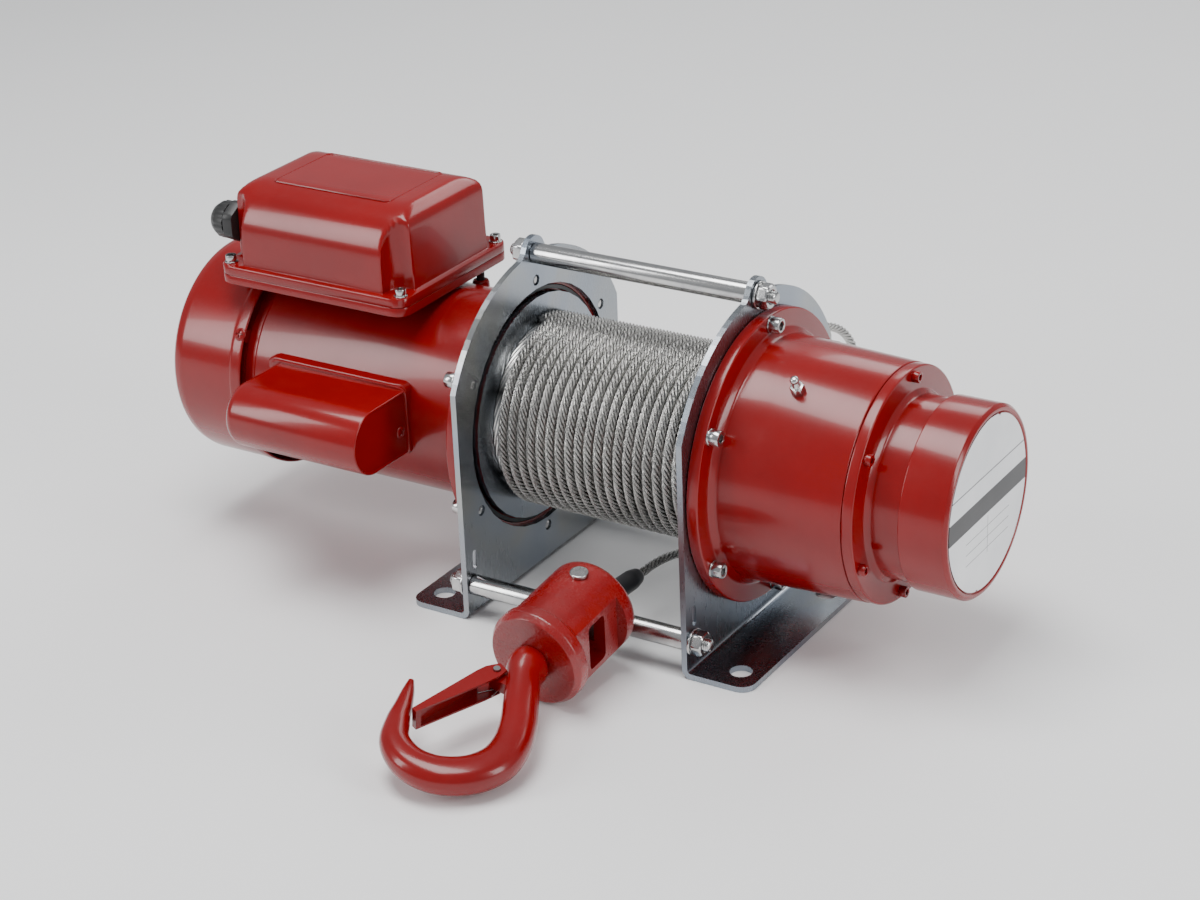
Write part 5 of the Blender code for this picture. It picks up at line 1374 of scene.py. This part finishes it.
@dataclass
class CapacitorBox(Assembly):
    """The D-shaped cover over the capacitor, on its thin base plate, with its end screws."""

    centre_x: float = -0.2232
    length: float = 0.125
    radius: float = 0.0255
    axis: tuple[float, ...] = (-0.1243, 0.0055)
    pad_y: float = -0.0825
    screw_y: float = -0.0915
    screw_head: float = 0.0095

    def outline(self, inset: float, steps: int = 64) -> Array:
        """The D shape in Y and Z: level above and below, a half circle in front, drawn in by the inset.

        Args:
            inset: how far it is drawn in.
            steps: points on the half circle.

        Returns:
            The section's points of (y, z).
        """
        turn = np.linspace(np.pi / 2, 3 * np.pi / 2, steps)
        r = self.radius - inset
        nose = np.stack([self.axis[0] + r * np.cos(turn), self.axis[1] + r * np.sin(turn)], axis=-1)
        back = self.pad_y - GAP
        level = np.linspace(back, self.axis[0], 10)[:-1, None]
        upper = np.concatenate([level, np.full_like(level, self.axis[1] + r)], axis=1)
        lower = np.concatenate([level[::-1], np.full_like(level, self.axis[1] - r)], axis=1)
        return np.concatenate([upper, nose, lower])

    def build(self) -> None:
        """Lofts the cover along X, with a soft left end and a crisp right end, and adds its flanges."""
        low, high = self.centre_x - self.length / 2, self.centre_x + self.length / 2
        turn = np.linspace(0, np.pi / 2, 9)
        stations = [(low + 0.009 * (1 - math.sin(t)), 0.009 * (1 - math.cos(t))) for t in turn[::-1]]
        stations += [(high - 0.0012, 0.0), (high - 0.0005, 0.0002), (high, 0.0008), (high, 0.0016),
                     (high - 0.0007, 0.0024), (high - 0.0007, 0.010), (high - 0.0007, 0.020)]
        rows = []
        for x, inset in stations:
            section = self.outline(inset)
            rows.append(np.concatenate([np.full((len(section), 1), x), section], axis=1))
        skin = Skin().grid(np.array(rows) + self.middle, caps=True)
        angle = corner_angles(0.064, 0.029, 6, 9)
        plate = []
        for y, inset in ((self.pad_y - 0.0001, 0.0), (self.pad_y - 0.0014, 0.0),
                         (self.pad_y - 0.0019, 0.0005), (self.pad_y - 0.0019, 0.0015)):
            reach = rounded_box_reach(angle, 0.0640 - inset, 0.0280 - inset, 0.006)
            plate.append(np.stack([self.centre_x + reach * np.cos(angle), y + 0 * angle,
                                   self.axis[1] + reach * np.sin(angle)], axis=-1))
        skin.grid(np.array(plate) + self.middle, caps=True)
        self.place(skin.piece("capacitor_housing", self.finishes["enamel"], 40), "frame", Slot.RED,
                   "capacitor_cover")
        screws = Skin()
        spot = self.at(high - 0.0004, self.screw_y, 0.0)
        self.hardware.cross_screw(screws, aimed(spot, (1, 0, 0), 0.4), self.screw_head, 0.0018)
        self.place(screws.piece("capacitor_screws", self.finishes["enamel"], 35), "frame", Slot.RED)


@dataclass
class Frame(Assembly):
    """The tie bars with their threaded ends, nuts and washers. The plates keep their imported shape."""

    bars: dict[str, tuple[float, float]] = field(
        default_factory=lambda: {"upper": (0.0, 0.1245), "front": (-0.104, -0.1065), "rear": (0.104, -0.1065)}
    )
    inner: float = 0.09265
    outer: float = 0.09715
    reach: float = 0.016
    screw_circle: float = 0.1025
    screw_turn: float = 30.0
    screw_count: int = 6
    bar_radius: float = 0.008
    stud_radius: float = 0.005
    pitch: float = 0.0015
    nut_flats: float = 0.017

    def build(self) -> None:
        """Builds the three bars and their six nuts."""
        for name, (y, z) in self.bars.items():
            shift = self.at(0, y, z)
            profile = rounded([(-self.inner + GAP, 0.0052), (-self.inner + GAP, 0.008),
                               (self.inner - GAP, 0.008), (self.inner - GAP, 0.0052)],
                              0.0008, closed=False)
            skin = Skin().grid(turned(profile, 64) + shift, caps=True)
            for side in (-1, 1):
                start = shift + np.array([side * (self.inner - 0.0004), 0, 0])
                self.hardware.thread(skin, aimed(start, (side, 0, 0)), self.stud_radius,
                                     self.outer + self.reach - self.inner, 0.0015)
                nut, place = Skin(), shift + np.array([side * (self.outer + GAP), 0, 0])
                self.hardware.washer(nut, aimed(place, (side, 0, 0)), 0.0105, 0.0053, 0.002)
                place = place + np.array([side * 0.0021, 0, 0])
                self.hardware.nut(nut, aimed(place, (side, 0, 0), 0.3 + side * 0.2), 0.017, 0.0084, 0.0052)
                end = "left" if side < 0 else "right"
                self.place(nut.piece(f"{name}_{end}_nut_and_washer", self.finishes["bright"], 35), "frame",
                           Slot.ZINC, f"{name}_{end}_nut")
            self.place(skin.piece(f"{name}_bar_with_threads", self.finishes["bright"], 35), "frame",
                       Slot.BRIGHT, f"{name}_tie_bar")
        self.screw_ends()
        # The dark recess rings are painted shade in the gaps round the drum's rims.
        self.painted_shade_rings()

    def screw_ends(self) -> None:
        """The flange screws' threaded ends, showing in the plates' six holes each."""
        skin = Skin()
        for side in (-1, 1):
            for index in range(self.screw_count):
                turn = self.screw_turn + 360 / self.screw_count * index
                spot = self.round_the_axis(turn, self.screw_circle, side * (self.outer + 0.0002))
                self.hardware.thread(skin, aimed(spot, (-side, 0, 0)), 0.0040, 0.0040, 0.0012)
        self.place(skin.piece("flange_screw_ends", self.finishes["bright"], 35), "frame", Slot.BRIGHT)

    def painted_shade_rings(self) -> None:
        """A dark L-shaped ring in each flange's recess, round the drum's rim: painted shade standing in for
        the shaded gap between flange and drum.
        """
        skin = Skin()
        for side in (-1, 1):
            profile = [(0.0976, 0.0897), (0.0976, 0.0928), (0.1019, 0.0928), (0.1019, 0.0920),
                       (0.0990, 0.0917)]
            points = rounded([(side * x, r) for x, r in profile], 0.0003)
            skin.grid(turned(points, 144) + self.middle, wrap_rows=True)
        # Painted shade: a near-black ring fills the shaded gap round each drum rim.
        self.place(skin.piece("painted_shade_recess_rings", self.finishes["blackened"], 40), "frame", Slot.BLACKENED)


@dataclass
class RopeWork(Assembly):
    """The rope: its turns on the drum, and the free length as one stranded tube."""

    radius: float = 0.0035
    lay: float = 0.040
    winding_lay: float = 0.029
    winding_radius: float = 0.0714
    half_width: float = 0.0886
    turns: int = 21
    steps_per_turn: int = 165
    last_climb: float = 0.16
    climb_height: float = 0.0080
    end_x: float = 0.0860
    pin: tuple[float, ...] = ROPE_PIN
    yaw: float = ROPE_YAW
    ferrule_end: float = 0.0737

    def free_path(self) -> Array:
        """The free rope's path: the curve through its route and on into the ferrule.

        Returns:
            The path's points.
        """
        turn = math.radians(self.yaw)
        towards = np.array([-math.sin(turn), math.cos(turn), 0.0])
        end = np.array(self.pin) + towards * self.ferrule_end
        knots = [*ROPE_ROUTE, tuple(end + towards * 0.008), tuple(end)]
        path = catmull_rom(knots, 16)
        floor = self.middle - np.array([0, 0, AXIS_HEIGHT])
        return evenly(path, 240) + floor

    def tail(self) -> Any:
        """The free rope as a stranded mesh tube.

        Returns:
            The piece and its path.
        """
        path = self.free_path()
        skin = Skin().grid(stranded(path, (0.97, -0.1, 0.2), self.radius, self.lay, 6), caps=True)
        piece = skin.piece("free_rope", self.finishes["rope"], 60)
        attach(piece, "frame")
        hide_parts("rope_tail")
        return piece, path

    def winding(self) -> None:
        """The turns: a helix of the rope over a dark under-layer, whose last turn climbs to the free rope."""
        total = float(self.turns)
        share = np.linspace(0, 1, int(total * self.steps_per_turn))
        turn = np.pi / 2 - 2 * np.pi * total * (1 - share)
        climb = np.clip((share * total - (total - self.last_climb)) / self.last_climb, 0, 1)
        reach = self.winding_radius + self.climb_height * climb**2 * (3 - 2 * climb)
        x = -self.half_width + (self.end_x + self.half_width) * share
        path = np.stack([x, -reach * np.cos(turn), reach * np.sin(turn)], axis=-1)
        skin = Skin().grid(stranded(path, (1, 0, 0), self.radius, self.winding_lay) + self.middle, caps=True)
        under = np.linspace(-0.0923, 0.0923, 100)
        waves = self.winding_radius - 0.0045 + 0.0012 * np.abs(np.sin(np.pi * (under + 0.004) / 0.0083))
        profile = np.concatenate([np.stack([under, waves], -1), [(0.0923, 0.0505), (-0.0923, 0.0505)]])
        skin.grid(turned(profile, 48) + self.middle, wrap_rows=True)
        self.place(skin.piece("wound_rope", self.finishes["rope"], 60), "drum", Slot.ROPE, "rope_winding")


@dataclass
class HookGear(Assembly):
    """The rope's end: ferrule, thimble and pin, the turned block, the hook and its latch's spring."""

    pin: tuple[float, ...] = ROPE_PIN
    block_turn: tuple[float, ...] = (8.0, 5.0, -1.6)
    hook_roll: float = 5.0
    rope_yaw: float = ROPE_YAW
    eye_lay: float = 0.030
    front: float = 0.062
    back: float = 0.021
    edge: float = 0.009
    block_radius: float = 0.036
    line: tuple[tuple[float, ...], ...] = (
        (0.0, 0.0, 0.0136, 0.0136),
        (0.006, -0.0006, 0.0148, 0.0145),
        (0.013, -0.0026, 0.0140, 0.0136),
        (0.022, -0.0070, 0.0124, 0.0122),
        (0.040, -0.0175, 0.0126, 0.0112),
        (0.060, -0.0290, 0.0132, 0.0112),
        (0.080, -0.0368, 0.0138, 0.0114),
        (0.100, -0.0385, 0.0144, 0.0116),
        (0.1185, -0.0295, 0.0144, 0.0116),
        (0.1310, -0.0115, 0.0140, 0.0114),
        (0.1325, 0.0095, 0.0128, 0.0108),
        (0.1228, 0.0290, 0.0110, 0.0100),
        (0.1062, 0.0397, 0.0088, 0.0088),
        (0.0900, 0.0465, 0.0066, 0.0068),
        (0.0760, 0.0527, 0.0046, 0.0048),
        (0.0655, 0.0578, 0.0022, 0.0022),
    )

    def __post_init__(self) -> None:
        """Works out the frames of the rope end, the block and the hook."""
        super().__post_init__()
        floor = Vector(self.middle) - Vector((0, 0, AXIS_HEIGHT))
        place = Matrix.Translation(floor + Vector(self.pin))
        pitch, roll, yaw = (math.radians(value) for value in self.block_turn)
        turn = Matrix.Rotation(yaw, 4, "Z") @ Matrix.Rotation(roll, 4, "Y") @ Matrix.Rotation(pitch, 4, "X")
        self.block_frame = place @ turn
        hook_place = Matrix.Translation((0, -self.front - GAP, 0))
        self.hook_frame = self.block_frame @ hook_place @ Matrix.Rotation(math.radians(self.hook_roll), 4,
                                                                          "Y")
        self.rope_frame = place @ Matrix.Rotation(math.radians(self.rope_yaw), 4, "Z")

    def along_y(self, profile: Sequence[Sequence[float]], reach: float, frame: Matrix, steps: int = 96,
                closed: bool = False) -> Array:
        """A profile of (y, radius) turned round the Y axis of a frame."""
        grid = turned(rounded(profile, reach, closed), steps)
        return moved(np.stack([-grid[..., 1], grid[..., 0], grid[..., 2]], axis=-1), frame)

    def build(self, tail: Any, path: Array) -> None:
        """Args:
            tail: the free rope; not used.
            path: the free rope's path.
        """
        pieces = [self.ferrule(), self.thimble(), self.clevis_pin()]
        for make in (self.block, self.hook, self.latch_spring):
            make()
        LOG.info("free rope: %.3f m", path_length(path))

    def ferrule(self) -> Any:
        """The pressed ferrule: a sleeve with a soft front and a taper to the rope.

        Returns:
            The piece.
        """
        profile = [(0.0285, 0.0015), (0.0285, 0.0074), (0.0300, 0.0079), (0.0480, 0.0078), (0.0630, 0.0076),
                   (0.0700, 0.0062), (0.073, 0.0046), (0.073, 0.0015)]
        skin = Skin().grid(self.along_y(profile, 0.0012, self.rope_frame, 64), caps=True)
        return self.place(skin.piece("pressed_ferrule", self.finishes["blackened"], 40), "frame",
                          Slot.BLACKENED, "ferrule")

    def thimble(self) -> Any:
        """The rope's eye: the rope bent round a thimble, as a tube along a teardrop loop.

        Returns:
            The piece.
        """
        turn = np.linspace(-0.62 * np.pi, 0.62 * np.pi, 60)
        loop = np.stack([0.0098 * np.sin(turn), -0.0098 * np.cos(turn), 0 * turn], axis=-1)
        legs = np.array([[-0.0042, 0.0284, 0.0]]), np.array([[0.0042, 0.0284, 0.0]])
        path = evenly(np.concatenate([legs[0], loop, legs[1]]), 90)
        skin = Skin().grid(moved(stranded(path, (0, 0, 1), 0.0034, self.eye_lay, 4), self.rope_frame),
                           caps=True)
        return self.place(skin.piece("rope_eye", self.finishes["rope"], 60), "frame", Slot.BLACKENED,
                          "thimble")

    def clevis_pin(self) -> Any:
        """The pin through the block and the eye, with a flat head and a chamfered tail.

        Returns:
            The piece.
        """
        half = 0.036
        profile = rounded([(-half - 0.0005, 0.0005), (-half - 0.0005, 0.0054), (-half, 0.006),
                           (half + GAP, 0.006), (half + GAP, 0.0068), (half + 0.0026, 0.0068),
                           (half + 0.003, 0.0062), (half + 0.003, 0.0005)], 0.0004, closed=False)
        grid = turned(profile, 48)
        upright = np.stack([grid[..., 1], grid[..., 2], grid[..., 0]], axis=-1)
        skin = Skin().grid(moved(upright, self.block_frame), caps=True)
        return self.place(skin.piece("clevis_pin_with_head", self.finishes["bright"], 35), "hook_block",
                          Slot.BRIGHT, "clevis_pin")

    def block(self) -> Any:
        """The turned block: a stepped collar, flats, a window through its sides, a rear slot and bores.

        Returns:
            The piece.
        """
        f, b, r = self.front, self.back, self.block_radius
        bend = np.linspace(0, np.pi / 2, 9)
        edge = [(b - self.edge * (1 - math.sin(t)), r - self.edge * (1 - math.cos(t))) for t in bend]
        profile = [(-f, 0.0105), (-f, 0.0300), (-f + 0.0002, 0.0350), (-f + 0.0050, 0.0380),
                   (-f + 0.0130, 0.0382), (-f + 0.0150, 0.0362), (-f + 0.0165, r), *edge, (b, 0.004)]
        body = Skin().grid(self.along_y(profile, 0.0008, self.block_frame, 120),
                           caps=True).piece("turned_block", self.finishes["casting"], 35)
        tools = [self.box((side * 0.0395, (-f + 0.015 + 0.005) / 2, 0), (0.0240, f - 0.015 + 0.005, 0.1),
                          0.0012) for side in (-1, 1)]
        tools.append(self.box((0, -0.021, 0), (0.12, 0.020, 0.038), 0.004))
        tools.append(self.box((0, 0.006, 0), (0.036, 0.040, 0.020), 0.003))
        pin_grid = turned([(-0.05, 0.0063), (0.05, 0.0063)], 48)
        tools.append(Skin().grid(moved(np.stack([pin_grid[..., 1], pin_grid[..., 2], pin_grid[..., 0]], -1),
                                       self.block_frame), caps=True).piece("bore", None))
        tools.append(Skin().grid(self.along_y([(-0.08, 0.0093), (-0.02, 0.0093)], 0, self.block_frame, 48),
                                 caps=True).piece("shank_bore", None))
        cut_away(body, tools)
        return self.place(body, "hook_block", Slot.RED, "hook_block")

    def box(self, centre: Sequence[float], size: Sequence[float], corner: float) -> Any:
        """A cutter: a box in the block's frame whose edges along X are rounded.

        Args:
            centre: its middle in the block's frame.
            size: its sizes.
            corner: radius of its rounded edges.

        Returns:
            The cutter.
        """
        angle = corner_angles(size[1] / 2, size[2] / 2, 2, 9)
        reach = rounded_box_reach(angle, size[1] / 2, size[2] / 2, corner)
        section = np.stack([centre[1] + reach * np.cos(angle), centre[2] + reach * np.sin(angle)], axis=-1)
        rows = [np.concatenate([np.full((len(section), 1), centre[0] + side * size[0] / 2), section],
                               axis=1) for side in (-1, 1)]
        return Skin().grid(moved(np.array(rows), self.block_frame), caps=True).piece("cutter", None)

    def hook(self) -> Any:
        """The forged hook: rounded sections carried along its centre line, a lug, and the shank.

        Each section is (w sgn(cos a)|cos a|^0.9, t sgn(sin a)|sin a|^0.9), across the line and out
        of the hook's plane.

        Returns:
            The piece.
        """
        rows = evenly(catmull_rom(self.line, 12), 130)
        tangent = np.gradient(rows[:, :2], axis=0)
        tangent[:2] = (1, 0)
        tangent /= np.linalg.norm(tangent, axis=1, keepdims=True)
        across = np.stack([-tangent[:, 1], tangent[:, 0]], axis=-1)
        angle = ring_angles(40)
        c, s = np.sign(
            np.cos(angle)) * np.abs(
                np.cos(angle)) ** 0.9, np.sign(np.sin(angle)) * np.abs(np.sin(angle)) ** 0.9
        plane = rows[:, None, :2] + across[:, None] * (rows[:, 2:3] * c)[..., None]
        grid = np.stack([-plane[..., 1], -plane[..., 0], rows[:, 3:4] * s], axis=-1)
        skin = Skin().grid(moved(grid, self.hook_frame), caps=True)
        turn = np.linspace(0, np.pi, 20)
        lug = np.stack([-(0.0105 + 0.0060 * np.sin(turn)), -(0.029 + 0.0060 * np.cos(turn))], axis=-1)
        lug = np.concatenate([lug, [(0.004, -0.0226), (0.004, -0.0354)]])
        rows = [np.concatenate([lug, np.full((len(lug), 1), z)], axis=1) for z in (-0.0048, 0.0048)]
        skin.grid(moved(np.array(rows), self.hook_frame), caps=True)
        skin.grid(self.along_y([(-0.002, 0.009), (self.front - 0.031 + 0.010, 0.009),
                                (self.front - 0.031 + 0.011, 0.008)], 0.0004, self.hook_frame, 48), caps=True)
        return self.place(skin.piece("forged_hook", self.finishes["enamel"], 40), "hook", Slot.RED, "hook")

    def latch_spring(self) -> Any:
        """The latch's torsion spring: a wire of three coils round the rivet with two legs.

        Returns:
            The piece.
        """
        turn = np.linspace(0, 6 * np.pi, 120)
        coil = np.stack([-0.0105 + 0.0038 * np.cos(turn), -0.029 + 0.0038 * np.sin(turn),
                         -0.0052 - turn / (6 * np.pi) * 0.0016], axis=-1)
        path = evenly(np.concatenate([[(-0.0060, -0.041, -0.0052)], coil, [(-0.0170, -0.0430, -0.0067)]]),
                      160)
        skin = Skin().grid(moved(tube(path, (0.1, 0.1, 1), 0.0005, 8), self.hook_frame), caps=True)
        return self.place(skin.piece("latch_spring", self.finishes["bright"], 60), "hook", Slot.BRIGHT)


LOADED: dict[str, Any] = {}


# ---------------------------------------------------------------- the studio and the whole


@dataclass
class Studio:
    """The pale floor, the soft lights and the camera."""

    lens: float = 81.94
    sensor: float = 36.0
    camera_at: tuple[float, ...] = (0.97285, -1.5885, 0.8508)
    right: tuple[float, ...] = (0.8512, 0.5236, -0.0366)
    up: tuple[float, ...] = (-0.1932, 0.3773, 0.9057)
    forward: tuple[float, ...] = (-0.488, 0.7638, -0.4223)
    world_colour: tuple[float, ...] = (0.95, 0.97, 1.0, 1.0)
    world_strength: float = 0.42
    centre: tuple[float, ...] = (0.0, 0.0, 0.12)
    half_floor: float = 7.0

    def camera(self, middle: Array) -> None:
        """Sets up the camera from the middle of the drum's axis.

        Args:
            middle: the middle of the drum's axis.
        """
        data = bpy.data.cameras.new("camera")
        data.lens, data.sensor_width, data.clip_end = self.lens, self.sensor, 60.0
        camera = bpy.data.objects.new("camera", data)
        bpy.context.scene.collection.objects.link(camera)
        columns = [self.right, self.up, tuple(-v for v in self.forward),
                   tuple(np.array(self.camera_at) + middle)]
        camera.matrix_world = Matrix([[columns[j][i] for j in range(4)] for i in range(3)] + [[0, 0, 0, 1]])
        bpy.context.scene.camera = camera

    def light(self, name: str, place: Sequence[float], size: Sequence[float], power: float,
              target: Sequence[float]) -> None:
        """One rectangular soft light.

        Args:
            name: its name.
            place: where it stands.
            size: its two sizes.
            power: its power in watts.
            target: what it faces.
        """
        data = bpy.data.lights.new(name, "AREA")
        data.shape, data.size, data.size_y, data.energy = "RECTANGLE", size[0], size[1], power
        lamp = bpy.data.objects.new(name, data)
        bpy.context.scene.collection.objects.link(lamp)
        lamp.location = place
        lamp.rotation_euler = (Vector(target) - Vector(place)).to_track_quat("-Z", "Y").to_euler()

    def build(self, floor_material: Any) -> None:
        """Lays the floor and hangs the lights.

        Args:
            floor_material: the floor's material.
        """
        steps = np.linspace(-self.half_floor, self.half_floor, 15)
        x, y = np.meshgrid(steps, steps, indexing="ij")
        floor = Skin().grid(np.stack([x, y, 0 * x - 0.0002], axis=-1),
                            wrap_columns=False).piece("studio_floor", floor_material)
        world = bpy.data.worlds.new("studio_world")
        world.use_nodes = True
        world.node_tree.nodes["Background"].inputs[0].default_value = self.world_colour
        world.node_tree.nodes["Background"].inputs[1].default_value = self.world_strength
        bpy.context.scene.world = world
        self.light("overhead", (-0.2, -0.3, 2.2), (1.7, 0.9), 46, self.centre)
        self.light("front_left", (-1.6, -1.7, 1.3), (0.6, 1.5), 24, self.centre)
        self.light("right_side", (2.2, -0.2, 1.0), (0.6, 1.3), 20, self.centre)
        self.light("rear", (0.2, 2.0, 1.6), (2.0, 0.8), 18, self.centre)


def dress_packed_nodes(finishes: Workshop) -> None:
    """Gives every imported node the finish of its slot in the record.

    Args:
        finishes: the materials.
    """
    for part in LOADED["record"]["subparts"]:
        node = LOADED["nodes"][part["node"]]
        material = finishes[finishes.by_slot[Slot(part["material_slot"])]]
        if not node.material_slots:
            node.data.materials.append(material)
        for slot in node.material_slots:
            slot.material = material


def main() -> None:
    """Builds the camera and the rope first, then every sub-assembly in order."""
    logging.basicConfig(level=logging.INFO, format="%(message)s")
    LOADED.update(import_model())
    finishes = Workshop()
    rope = RopeWork(finishes)
    studio = Studio()
    studio.camera(rope.middle)
    tail, path = rope.tail()
    HookGear(finishes).build(tail, path)
    studio.build(finishes["floor"])
    dress_packed_nodes(finishes)
    rope.winding()
    for assembly in (Gearbox, Motor, TerminalBox, CapacitorBox, Frame):
        assembly(finishes).build()


if __name__ == "__main__":
    main()
